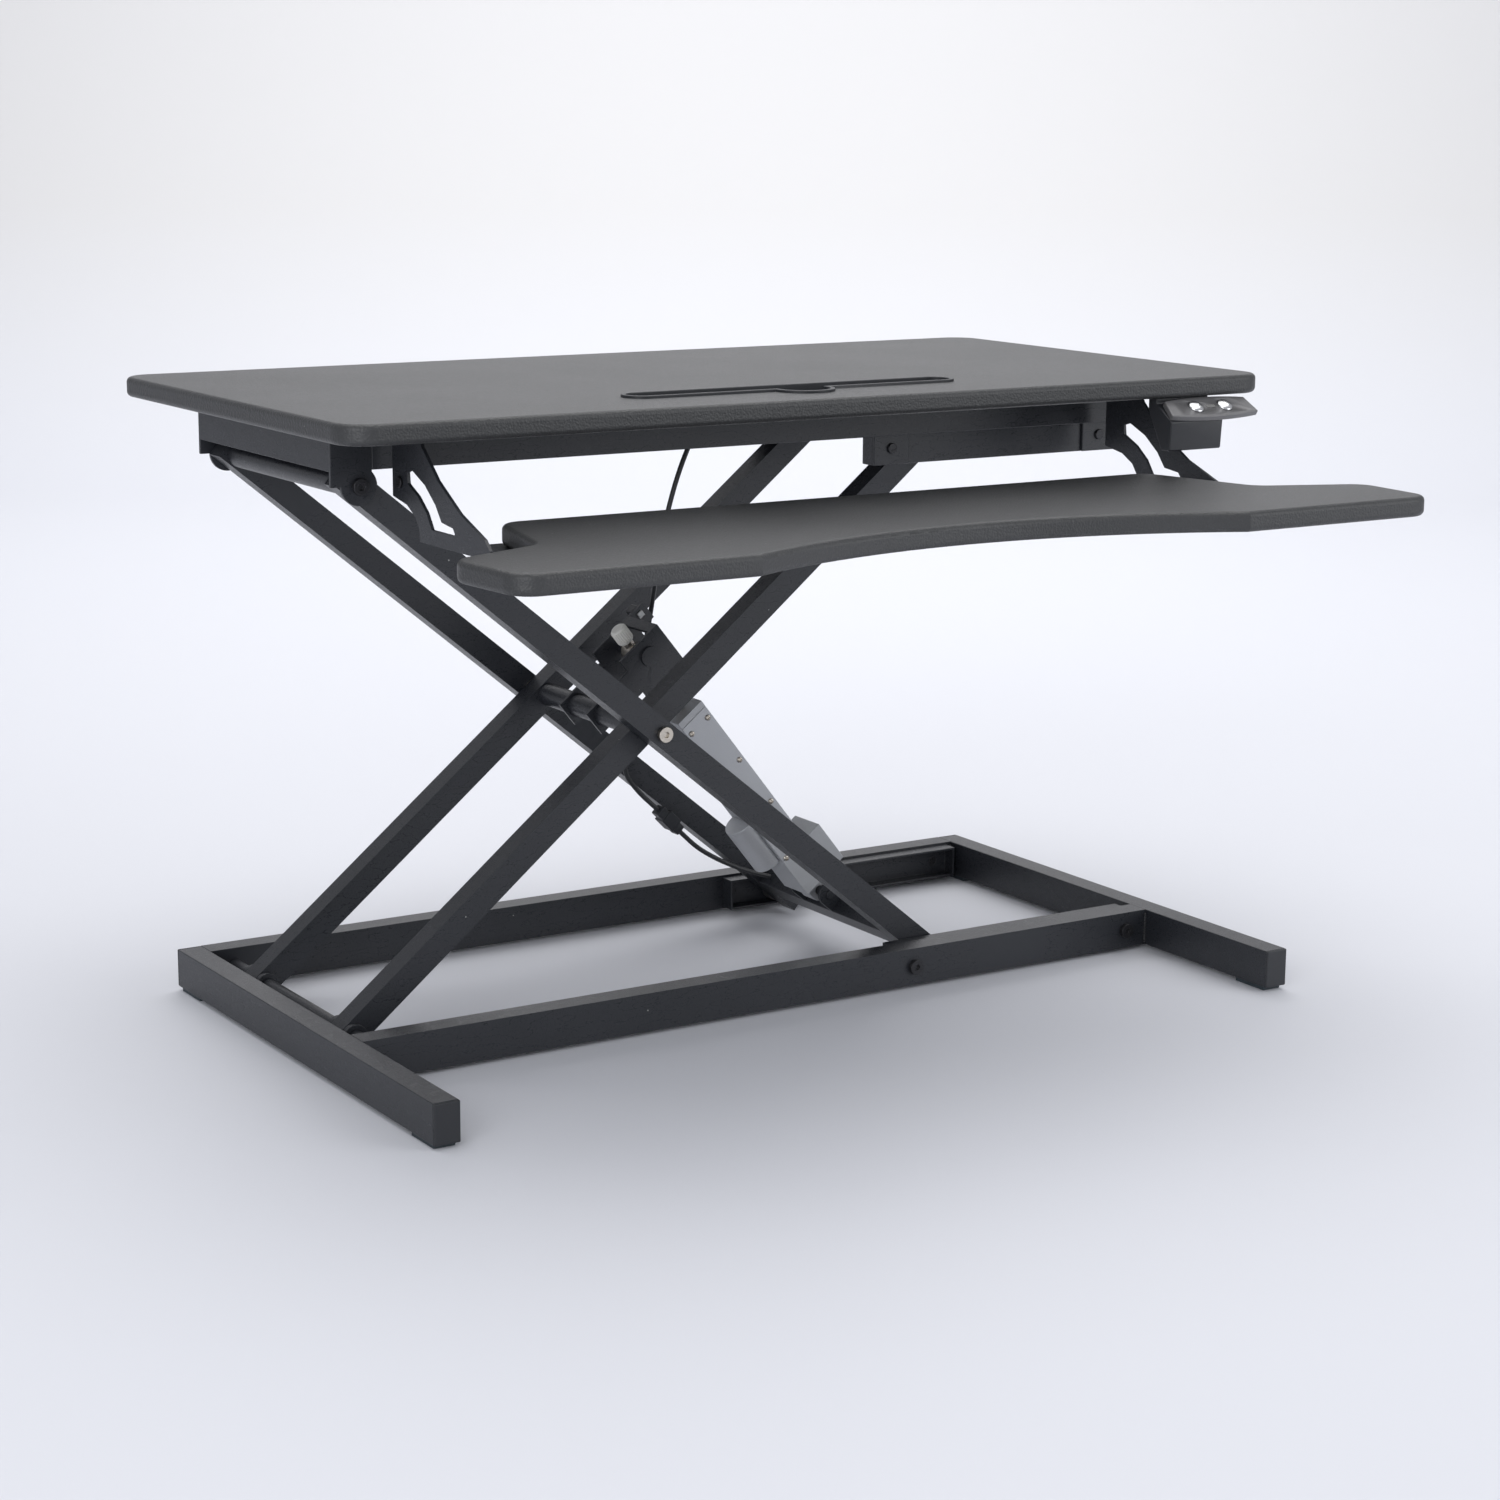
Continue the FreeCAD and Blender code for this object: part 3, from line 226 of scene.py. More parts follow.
@dataclass(frozen=True)
class Finish:
    """One surface finish.

    The colour goes from `dark` to `pale` with the film of dust and handling, and the
    roughness from `rough` by `rough_change`.
    """

    name: str
    slot: str
    dark: Colour
    pale: Colour
    rough: float
    rough_change: float = 0.1
    metal: float = 0.0
    grain: Grain = Grain.ORANGE_PEEL
    cells: float = 0.4
    bump: float = 0.15
    depth: float = 0.2
    specks: float = 0.35
    wear: float = 0.15
    coat: float = 0.0
    coat_rough: float = 0.2
    specular: float = 0.5
    clear: float = 0.0

    def build(self) -> bpy.types.Material:
        """Build the material.

        Returns:
            The material, with its Principled BSDF fed by the shared groups.
        """
        material = bpy.data.materials.new(self.name)
        material.use_nodes = True
        tree = material.node_tree
        shader = tree.nodes["Principled BSDF"]
        grain = self._group(tree, GRAIN)
        scale, flow = self.grain.value
        grain.inputs["Scale"].default_value = scale
        grain.inputs["Flow"].default_value = flow
        grain.inputs["Cells"].default_value = self.cells
        dust = self._group(tree, DUST)
        dust.inputs["Specks"].default_value = self.specks
        dust.inputs["Film"].default_value = 1.0
        wear = self._group(tree, WEAR)
        wear.inputs["Amount"].default_value = self.wear
        tint = tree.nodes.new("ShaderNodeMix")
        tint.data_type = "RGBA"
        tint.inputs["A"].default_value = (*self.dark, 1.0)
        tint.inputs["B"].default_value = (*self.pale, 1.0)
        film = dust.outputs["Film"]
        shade = math_node(tree, "MULTIPLY_ADD", grain.outputs["Mask"], GRAIN_TINT, film)
        most = math_node(tree, "SUBTRACT", shade, TINT_START, clamp=True)
        tree.links.new(most, tint.inputs["Factor"])
        marked = tree.nodes.new("ShaderNodeMix")
        marked.data_type = "RGBA"
        marked.inputs["B"].default_value = SPECK_COLOUR
        tree.links.new(tint.outputs["Result"], marked.inputs["A"])
        tree.links.new(dust.outputs["Specks"], marked.inputs["Factor"])
        tree.links.new(marked.outputs["Result"], shader.inputs["Base Color"])
        rough = math_node(tree, "MULTIPLY_ADD", film, self.rough_change, self.rough)
        worn = math_node(tree, "SUBTRACT", rough, wear.outputs["Wear"], clamp=True)
        tree.links.new(worn, shader.inputs["Roughness"])
        bump = tree.nodes.new("ShaderNodeBump")
        bump.inputs["Strength"].default_value = self.bump
        bump.inputs["Distance"].default_value = self.depth * MM
        tree.links.new(grain.outputs["Height"], bump.inputs["Height"])
        tree.links.new(bump.outputs["Normal"], shader.inputs["Normal"])
        for label, value in (("Metallic", self.metal), ("Specular IOR Level", self.specular),
                             ("Coat Weight", self.coat), ("Coat Roughness", self.coat_rough),
                             ("Transmission Weight", self.clear)):
            shader.inputs[label].default_value = value
        return material

    @staticmethod
    def _group(tree: bpy.types.NodeTree, group: bpy.types.NodeTree) -> bpy.types.Node:
        """Place a shared group in a material."""
        node = tree.nodes.new("ShaderNodeGroup")
        node.node_tree = group
        return node


POWDER_COAT = Finish("powder_coated_steel", "steel", (0.010, 0.0115, 0.0145),
                     (0.023, 0.025, 0.031), 0.36, bump=0.22, depth=0.12, cells=0.5, specks=0.7)
VINYL = Finish("pebbled_vinyl", "board", (0.023, 0.024, 0.025), (0.046, 0.047, 0.049), 0.40,
               grain=Grain.PEBBLE, cells=1.1, bump=0.55, depth=0.45, specks=0.3, wear=0.05)
BOLT_ZINC = Finish("nickel_plated_bolt", "bolt", (0.42, 0.38, 0.33), (0.62, 0.58, 0.52), 0.24,
                   metal=1.0, bump=0.05, grain=Grain.DRAWN, specks=0.1, wear=0.1)
BOLT_BLACK = Finish("black_oxide_bolt", "dark_bolt", (0.018, 0.018, 0.02), (0.05, 0.05, 0.055),
                    0.30, metal=0.6, bump=0.08, specks=0.2, wear=0.2)
BLACK_PLASTIC = Finish("moulded_black_plastic", "black_plastic", (0.011, 0.012, 0.015),
                       (0.024, 0.026, 0.031), 0.42, bump=0.25, grain=Grain.SPARK, depth=0.1,
                       specks=0.25)
GREY_PLASTIC = Finish("satin_grey_plastic", "grey_plastic", (0.12, 0.118, 0.122),
                      (0.17, 0.168, 0.172), 0.33, metal=0.25, bump=0.12, grain=Grain.SPARK,
                      depth=0.06, specks=0.1, wear=0.05)
WHITE_PLASTIC = Finish("milky_nylon", "white_plastic", (0.62, 0.61, 0.57), (0.8, 0.79, 0.75),
                       0.36, bump=0.12, grain=Grain.SPARK, depth=0.1, specks=0.0, wear=0.05)
CHROME = Finish("chromed_button", "chrome", (0.62, 0.62, 0.63), (0.78, 0.78, 0.79), 0.12,
                rough_change=0.08, metal=1.0, bump=0.03, grain=Grain.DRAWN, specks=0.0)
CASE_METAL = Finish("drawn_aluminium", "case_metal", (0.36, 0.37, 0.39), (0.50, 0.51, 0.53),
                    0.42, metal=0.55, bump=0.16, grain=Grain.DRAWN, cells=0.2, depth=0.1,
                    specks=0.12, wear=0.12)
CAST_METAL = Finish("cast_aluminium", "case_metal", (0.33, 0.34, 0.355), (0.47, 0.48, 0.5), 0.46,
                    metal=0.5, bump=0.35, grain=Grain.SPARK, cells=0.8, depth=0.15, specks=0.12)
RUBBER = Finish("blue_black_rubber", "rubber", (0.012, 0.018, 0.024), (0.035, 0.05, 0.06), 0.62,
                bump=0.3, grain=Grain.SPARK, depth=0.12, specks=0.2)
NYLON = Finish("roller_nylon", "nylon", (0.03, 0.03, 0.03), (0.07, 0.07, 0.07), 0.4, bump=0.1,
               grain=Grain.SPARK)
CABLE_SKIN = Finish("cable_sheath", "cable", (0.010, 0.011, 0.013), (0.022, 0.023, 0.026), 0.36,
                    bump=0.12, grain=Grain.SPARK, depth=0.05, specks=0.1)
WELD = Finish("painted_weld", "steel", (0.008, 0.0085, 0.010), (0.02, 0.021, 0.024), 0.3,
              bump=0.3, grain=Grain.SPARK, depth=0.15, specks=0.4)
CLEAR_NYLON = Finish("clear_nylon_tie", "white_plastic", (0.7, 0.72, 0.72), (0.85, 0.86, 0.86),
                     0.22, bump=0.05, grain=Grain.SPARK, specks=0.0, wear=0.0, clear=0.45)
DARK_SLOT = Finish("button_window", "black_plastic", (0.006, 0.006, 0.007),
                   (0.012, 0.012, 0.013), 0.12, bump=0.02, grain=Grain.SPARK, specks=0.0,
                   coat=0.5)


class Paint:
    """Builds each finish once and gives it to pieces."""

    def __init__(self) -> None:
        """Start with no material built."""
        self.made: dict[str, bpy.types.Material] = {}

    def material(self, finish: Finish) -> bpy.types.Material:
        """The material of a finish."""
        if finish.name not in self.made:
            self.made[finish.name] = finish.build()
        return self.made[finish.name]

    def node(self, name: str, finish: Finish) -> bpy.types.Object:
        """Give a CAD node, as it stands, a finish."""
        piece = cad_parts[name]
        if not piece.material_slots:
            piece.data.materials.append(None)
        for spot in piece.material_slots:
            spot.material = self.material(finish)
        return piece

    def piece(self, piece: bpy.types.Object, finish: Finish, body: Body) -> bpy.types.Object:
        """Give a finished mesh its material and the body that it rides on."""
        piece.data.materials.clear()
        piece.data.materials.append(self.material(finish))
        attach(piece, body.value)
        log.info("%s on %s: %d faces", piece.name, body.value, len(piece.data.polygons))
        return piece


PAINT = Paint()


# ---- mesh helpers --------------------------------------------------------------------


def add_mesh(name: str, mesh: bmesh.types.BMesh, smooth_deg: float = 38.0) -> bpy.types.Object:
    """Make an object of a mesh, with smooth faces and sharp edges by angle.

    Args:
        name: the piece's name.
        mesh: the finished mesh, in metres, in place.
        smooth_deg: edges that turn by more than this stay sharp.

    Returns:
        The object, at the origin.
    """
    bmesh.ops.recalc_face_normals(mesh, faces=mesh.faces)
    data = bpy.data.meshes.new(name)
    mesh.to_mesh(data)
    mesh.free()
    data.polygons.foreach_set("use_smooth", [True] * len(data.polygons))
    data.set_sharp_from_angle(angle=math.radians(smooth_deg))
    piece = bpy.data.objects.new(name, data)
    bpy.context.scene.collection.objects.link(piece)
    return piece


def apply_modifiers(piece: bpy.types.Object) -> bpy.types.Object:
    """Turn a piece with modifiers into a plain mesh."""
    bpy.context.view_layer.update()
    graph = bpy.context.evaluated_depsgraph_get()
    data = bpy.data.meshes.new_from_object(piece.evaluated_get(graph))
    piece.modifiers.clear()
    piece.data = data
    return piece


def add_bevel(piece: bpy.types.Object, width: float, steps: int, angle_deg: float) -> None:
    """Round a piece's edges that turn by more than an angle, by a width in millimetres."""
    bevel = piece.modifiers.new("rounding", "BEVEL")
    bevel.width = width * MM
    bevel.segments = steps
    bevel.limit_method = "ANGLE"
    bevel.angle_limit = math.radians(angle_deg)
    bevel.harden_normals = True


def add_cut(piece: bpy.types.Object, cutter: bpy.types.Object, overlapping: bool = False) -> None:
    """Cut a shape, whose parts may be overlapping each other, out of a piece."""
    cut = piece.modifiers.new("cut", "BOOLEAN")
    cut.operation = "DIFFERENCE"
    cut.solver = "EXACT"
    cut.use_self = overlapping
    cut.object = cutter


def softened(node: str, name: str, finish: Finish, body: Body, width: float,
             steps: int = 2, angle_deg: float = 40.0) -> bpy.types.Object:
    """Copy a CAD node, join its triangles and round its sharp edges.

    Args:
        node: the CAD node that the piece stands for.
        name: the piece's name.
        finish: its finish.
        body: the body that it rides on.
        width: the edge rounding in millimetres.
        steps: how many faces the rounding has.
        angle_deg: edges that turn by more than this are rounded.

    Returns:
        The piece, which replaces the node.
    """
    mesh = bmesh.new()
    mesh.from_mesh(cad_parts[node].data)
    bmesh.ops.remove_doubles(mesh, verts=mesh.verts, dist=0.00001)
    bmesh.ops.dissolve_limit(mesh, angle_limit=math.radians(1.0), verts=mesh.verts,
                             edges=mesh.edges)
    piece = add_mesh(name, mesh, angle_deg)
    add_bevel(piece, width, steps, angle_deg)
    apply_modifiers(piece)
    PAINT.piece(piece, finish, body)
    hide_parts(node)
    return piece


def soften_all(rows: list[tuple[str, str, Finish, Body, float, int]]) -> None:
    """Soften CAD nodes one after another, from rows of what softened takes."""
    for row in rows:
        softened(*row)


def box_middle(node: str) -> Vector:
    """The middle of a CAD node's box."""
    low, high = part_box(node)
    return (low + high) / 2


def prism(mesh: bmesh.types.BMesh, outline: list[Point], tall: float, place: Matrix) -> None:
    """Add a closed solid that stands on an outline, tall along the local Z, put in place."""
    deep = place.to_3x3() @ Vector((0.0, 0.0, tall))
    front = [mesh.verts.new(place @ Vector(point)) for point in outline]
    rear = [mesh.verts.new(place @ Vector(point) + deep) for point in outline]
    mesh.faces.new(front)
    mesh.faces.new(list(reversed(rear)))
    count = len(outline)
    for spot in range(count):
        after = (spot + 1) % count
        mesh.faces.new((front[after], front[spot], rear[spot], rear[after]))


def lathe(mesh: bmesh.types.BMesh, profile: list[tuple[float, float]], place: Matrix,
          sides: int = 40) -> None:
    """Add a turned solid: (radius, height) points about the local Z, closed at both ends.

    Args:
        mesh: the mesh that gets the solid.
        profile: radius and height, from the bottom middle to the top middle.
        place: from local to object space.
        sides: how many steps round.
    """
    rings = []
    for radius, height in profile:
        if radius <= 0:
            rings.append([mesh.verts.new(place @ Vector((0.0, 0.0, height)))])
            continue
        ring = []
        for step in range(sides):
            turn = 2 * math.pi * step / sides
            spot = Vector((radius * math.cos(turn), radius * math.sin(turn), height))
            ring.append(mesh.verts.new(place @ spot))
        rings.append(ring)
    for low, high in zip(rings, rings[1:]):
        for step in range(sides):
            after = (step + 1) % sides
            if len(low) == 1:
                mesh.faces.new((low[0], high[step], high[after]))
            elif len(high) == 1:
                mesh.faces.new((low[step], high[0], low[after]))
            else:
                mesh.faces.new((low[step], high[step], high[after], low[after]))


# ---- Geometry Nodes ------------------------------------------------------------------


class Repeater:
    """A Geometry Nodes tree that puts copies of one small shape along a line or a ring."""

    def __init__(self, name: str, ring: bool, seed: int = 7) -> None:
        """Build the tree.

        Args:
            name: the tree's name.
            ring: copies stand in a ring about Z, and otherwise in a line.
            seed: the fixed seed of the uneven turns.
        """
        self.tree = bpy.data.node_groups.new(name, "GeometryNodeTree")
        face = self.tree.interface
        face.new_socket("Geometry", in_out="INPUT", socket_type="NodeSocketGeometry")
        for label, kind in (("Shape", "NodeSocketObject"), ("Count", "NodeSocketInt"),
                            ("Start", "NodeSocketVector"), ("Step", "NodeSocketVector"),
                            ("Radius", "NodeSocketFloat"), ("Uneven", "NodeSocketFloat"),
                            ("Material", "NodeSocketMaterial")):
            face.new_socket(label, in_out="INPUT", socket_type=kind)
        face.new_socket("Geometry", in_out="OUTPUT", socket_type="NodeSocketGeometry")
        start = self._add("NodeGroupInput")
        end = self._add("NodeGroupOutput")
        shape = self._add("GeometryNodeObjectInfo")
        self._link(start.outputs["Shape"], shape.inputs["Object"])
        copies = self._add("GeometryNodeInstanceOnPoints")
        turn = self._add("FunctionNodeRandomValue")
        turn.data_type = "FLOAT_VECTOR"
        turn.inputs["Seed"].default_value = seed
        for spot, sign in enumerate((-1.0, 1.0)):
            side = self._add("ShaderNodeVectorMath")
            side.operation = "SCALE"
            side.inputs[0].default_value = (sign, sign, sign)
            self._link(start.outputs["Uneven"], side.inputs["Scale"])
            self._link(side.outputs[0], turn.inputs[spot])
        if ring:
            points = self._add("GeometryNodeMeshCircle")
            self._link(start.outputs["Count"], points.inputs["Vertices"])
            self._link(start.outputs["Radius"], points.inputs["Radius"])
            facing = self._add("FunctionNodeAlignRotationToVector")
            facing.axis = "X"
            facing.pivot_axis = "Z"
            position = self._add("GeometryNodeInputPosition")
            self._link(position.outputs[0], facing.inputs["Vector"])
            self._link(facing.outputs[0], copies.inputs["Rotation"])
        else:
            points = self._add("GeometryNodeMeshLine")
            self._link(start.outputs["Count"], points.inputs["Count"])
            self._link(start.outputs["Start"], points.inputs["Start Location"])
            self._link(start.outputs["Step"], points.inputs["Offset"])
            self._link(turn.outputs[0], copies.inputs["Rotation"])
        self._link(points.outputs["Mesh"], copies.inputs["Points"])
        self._link(shape.outputs["Geometry"], copies.inputs["Instance"])
        real = self._add("GeometryNodeRealizeInstances")
        dress = self._add("GeometryNodeSetMaterial")
        self._link(copies.outputs[0], real.inputs[0])
        self._link(real.outputs[0], dress.inputs["Geometry"])
        self._link(start.outputs["Material"], dress.inputs["Material"])
        self._link(dress.outputs[0], end.inputs[0])

    def _add(self, kind: str) -> bpy.types.Node:
        """Add a node."""
        return self.tree.nodes.new(kind)

    def _link(self, source: bpy.types.NodeSocket, target: bpy.types.NodeSocket) -> None:
        """Join two sockets."""
        self.tree.links.new(source, target)

    def run(self, name: str, shape: bpy.types.Object, finish: Finish, place: Matrix,
            **values: object) -> bpy.types.Object:
        """Run the tree and give back a plain mesh, put in place.

        Args:
            name: the piece's name.
            shape: the small shape that is repeated.
            finish: the finish that Set Material gives.
            place: from the tree's space to object space.
            values: the tree's other inputs, by name.

        Returns:
            The piece, with no modifier.
        """
        data = bpy.data.meshes.new(name)
        piece = bpy.data.objects.new(name, data)
        bpy.context.scene.collection.objects.link(piece)
        modifier = piece.modifiers.new("repeat", "NODES")
        modifier.node_group = self.tree
        inputs = {item.name: item.identifier for item in self.tree.interface.items_tree
                  if item.in_out == "INPUT"}
        modifier[inputs["Shape"]] = shape
        modifier[inputs["Material"]] = PAINT.material(finish)
        for label, value in values.items():
            modifier[inputs[label]] = value
        apply_modifiers(piece)
        piece.data.transform(place)
        piece.data.polygons.foreach_set("use_smooth", [True] * len(piece.data.polygons))
        piece.data.set_sharp_from_angle(angle=math.radians(40))
        return piece


LINE = Repeater("copies_in_a_line", ring=False)
RING = Repeater("copies_in_a_ring", ring=True)


def drop(piece: bpy.types.Object) -> None:
    """Remove a helper shape."""
    bpy.data.objects.remove(piece, do_unlink=True)


# ---- sub-assemblies ------------------------------------------------------------------


@dataclass
class BaseFrame:
    """The welded base: side tubes, rails, caps, pads, tracks, shaft and welds.

    Lengths are in millimetres.
    """

    tube_round: float = 1.6
    cap_round: float = 1.8
    pad_round: float = 0.8
    small_round: float = 0.5
    bead_radius: float = 1.7
    bead_step: float = 1.5
    bead_flat: float = 0.62
    bead_uneven: float = 0.35
    seam_short: float = 4.0
    seam_start: float = 2.5

    def build(self) -> None:
        """Build and dress the base."""
        for node in ("base_left_tube", "base_right_tube", "base_front_rail", "base_rear_rail"):
            softened(node, node + "_coated", POWDER_COAT, Body.BASE, self.tube_round, 3)
        for node in ("base_front_track", "base_rear_track"):
            softened(node, node + "_folded", POWDER_COAT, Body.BASE, self.small_round)
        soften_all([
            ("base_end_caps", "base_end_plugs", BLACK_PLASTIC, Body.BASE, self.cap_round, 3),
            ("base_foot_pads", "base_rubber_feet", RUBBER, Body.BASE, self.pad_round, 2),
            ("track_bolts", "track_bolt_set", BOLT_BLACK, Body.BASE, self.small_round, 2),
            ("hinge_shaft", "hinge_shaft_turned", POWDER_COAT, Body.BASE, self.small_round, 2)])
        self.welds()

    def welds(self) -> None:
        """Run a rippled bead up each seam between a rail and a side tube."""
        bead = bmesh.new()
        bmesh.ops.create_icosphere(bead, subdivisions=2, radius=self.bead_radius * MM)
        bmesh.ops.scale(bead, vec=(1.0, 1.0, self.bead_flat), verts=bead.verts)
        shape = add_mesh("bead_shape", bead)
        seams = []
        for rail in ("base_front_rail", "base_rear_rail"):
            low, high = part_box(rail)
            for x in (low.x, high.x):
                for y in (low.y, high.y):
                    seams.append((x, y, low.z, high.z))
        for spot, (x, y, low_z, high_z) in enumerate(seams):
            tall = (high_z - low_z) / MM - self.seam_short
            count = int(tall / self.bead_step)
            place = Matrix.Translation((x, y, low_z + self.seam_start * MM))
            name = "weld_bead_%d" % spot
            piece = LINE.run(name, shape, WELD, place, Count=count, Start=(0.0, 0.0, 0.0),
                             Step=(0.0, 0.0, self.bead_step * MM), Uneven=self.bead_uneven)
            PAINT.piece(piece, WELD, Body.BASE)
        drop(shape)


@dataclass
class ScissorLift:
    """Both pairs of arms with their ties, bolts, axles, brackets and end plugs.

    Lengths are in millimetres. The tie is a rounded band, and tie_bend is how square it is.
    """

    arm_round: float = 1.5
    plate_round: float = 0.6
    tube_end_round: float = 0.4
    block_round: float = 0.9
    tie_tilt: float = -39.17
    tie_gap: float = 0.9
    tie_half_tall: float = 8.9
    tie_half_wide: float = 1.5
    tie_thick: float = 0.7
    tie_bend: float = 0.55
    tie_steps: int = 28
    head_half: float = 2.6
    head_deep: float = 3.6
    head_sunk: float = 0.2
    head_low: float = 2.0
    head_tall: float = 4.6

    def build(self) -> None:
        """Build and dress the arms."""
        for side in ("front", "rear"):
            softened("outer_%s_arm" % side, "outer_%s_arm_coated" % side, POWDER_COAT,
                     Body.OUTER, self.arm_round, 3)
            softened("inner_%s_arm" % side, "inner_%s_arm_coated" % side, POWDER_COAT,
                     Body.INNER, self.arm_round, 3)
            PAINT.node("lower_%s_roller" % side, NYLON)
            PAINT.node("upper_%s_roller" % side, NYLON)
        soften_all([
            ("outer_arm_caps", "outer_arm_plugs", BLACK_PLASTIC, Body.OUTER, self.plate_round, 2),
            ("inner_arm_caps", "inner_arm_plugs", BLACK_PLASTIC, Body.INNER, self.plate_round, 2),
            ("inner_middle_tie", "inner_middle_tie_tube", POWDER_COAT, Body.INNER,
             self.tube_end_round, 2),
            ("outer_top_tie", "outer_top_tie_tube", POWDER_COAT, Body.OUTER,
             self.tube_end_round, 2),
            ("lower_beam", "lower_beam_coated", POWDER_COAT, Body.OUTER, self.arm_round, 3),
            ("lower_clevis", "lower_clevis_plates", POWDER_COAT, Body.OUTER, self.plate_round, 2),
            ("lift_bracket", "lift_bracket_plates", POWDER_COAT, Body.INNER, self.plate_round, 2),
            ("cable_block", "cable_block_moulded", BLACK_PLASTIC, Body.INNER, self.block_round, 2),
            ("centre_bolts", "centre_bolt_set", BOLT_ZINC, Body.INNER, self.plate_round, 3),
            ("upper_roller_axles", "upper_axle_pins", BOLT_BLACK, Body.INNER,
             self.tube_end_round, 2),
            ("lower_roller_axles", "lower_axle_pins", BOLT_BLACK, Body.OUTER,
             self.tube_end_round, 2)])
        self.cable_tie()

    def cable_tie(self) -> None:
        """A clear tie round the connector block, with its head."""
        low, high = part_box("cable_block")
        tilt = Matrix.Rotation(math.radians(self.tie_tilt), 4, "Y")
        place = Matrix.Translation((low + high) / 2) @ tilt
        half_y = (high.y - low.y) / 2 + self.tie_gap * MM
        half_z = self.tie_half_tall * MM
        mesh = bmesh.new()
        outline = []
        for step in range(self.tie_steps):
            turn = 2 * math.pi * step / self.tie_steps
            across = math.copysign(abs(math.cos(turn)) ** self.tie_bend, math.cos(turn)) * half_y
            up = math.copysign(abs(math.sin(turn)) ** self.tie_bend, math.sin(turn)) * half_z
            outline.append((across, up))
        wide = self.tie_half_wide * MM
        thick = self.tie_thick * MM
        rings = []
        for across, up in outline:
            out = Vector((0.0, across, up)).normalized() * thick
            spot = Vector((0.0, across, up))
            rings.append([mesh.verts.new(place @ (spot + offset)) for offset in (
                Vector((-wide, 0, 0)), Vector((wide, 0, 0)),
                Vector((wide, 0, 0)) + out, Vector((-wide, 0, 0)) + out)])
        for spot, ring in enumerate(rings):
            after = rings[(spot + 1) % len(rings)]
            for side in range(4):
                nxt = (side + 1) % 4
                mesh.faces.new((ring[side], after[side], after[nxt], ring[nxt]))
        half_x = self.head_half * MM
        outer_y = -half_y - self.head_deep * MM
        inner_y = -half_y + self.head_sunk * MM
        head = [(x, y, self.head_low * MM) for x, y in (
            (-half_x, outer_y), (half_x, outer_y), (half_x, inner_y), (-half_x, inner_y))]
        prism(mesh, head, self.head_tall * MM, place)
        piece = add_mesh("cable_tie", mesh)
        PAINT.piece(piece, CLEAR_NYLON, Body.INNER)


@dataclass
class DeskTop:
    """The board, its holder tray and the steel frame below it."""

    sheet_round: float = 0.7
    screw_round: float = 0.7
    bolt_round: float = 0.6
    box_round: float = 2.5

    def build(self) -> None:
        """Build and dress the desk."""
        PAINT.node("desk_board", VINYL)
        softened("holder_slot", "holder_slot_moulded", BLACK_PLASTIC, Body.DESK,
                 self.sheet_round, 3)
        for node in ("hinge_plate", "top_front_rail", "top_rear_rail", "top_right_end",
                     "top_front_track", "top_rear_track", "track_hangers"):
            softened(node, node + "_folded", POWDER_COAT, Body.DESK, self.sheet_round)
        soften_all([
            ("frame_screws", "frame_screw_heads", BOLT_BLACK, Body.DESK, self.screw_round, 3),
            ("hinge_bolts", "hinge_bolt_set", BOLT_BLACK, Body.DESK, self.bolt_round, 3),
            ("control_box", "control_box_moulded", BLACK_PLASTIC, Body.DESK, self.box_round, 3),
            ("power_inlet", "power_inlet_moulded", BLACK_PLASTIC, Body.DESK, self.bolt_round, 2)])


@dataclass
class KeyboardTray:
    """The keyboard tray and its two folded brackets."""

    bracket_round: float = 0.6

    def build(self) -> None:
        """Build and dress the tray."""
        PAINT.node("keyboard_tray", VINYL)
        for side in ("left", "right"):
            softened("%s_tray_bracket" % side, "%s_tray_bracket_folded" % side, POWDER_COAT,
                     Body.DESK, self.bracket_round)


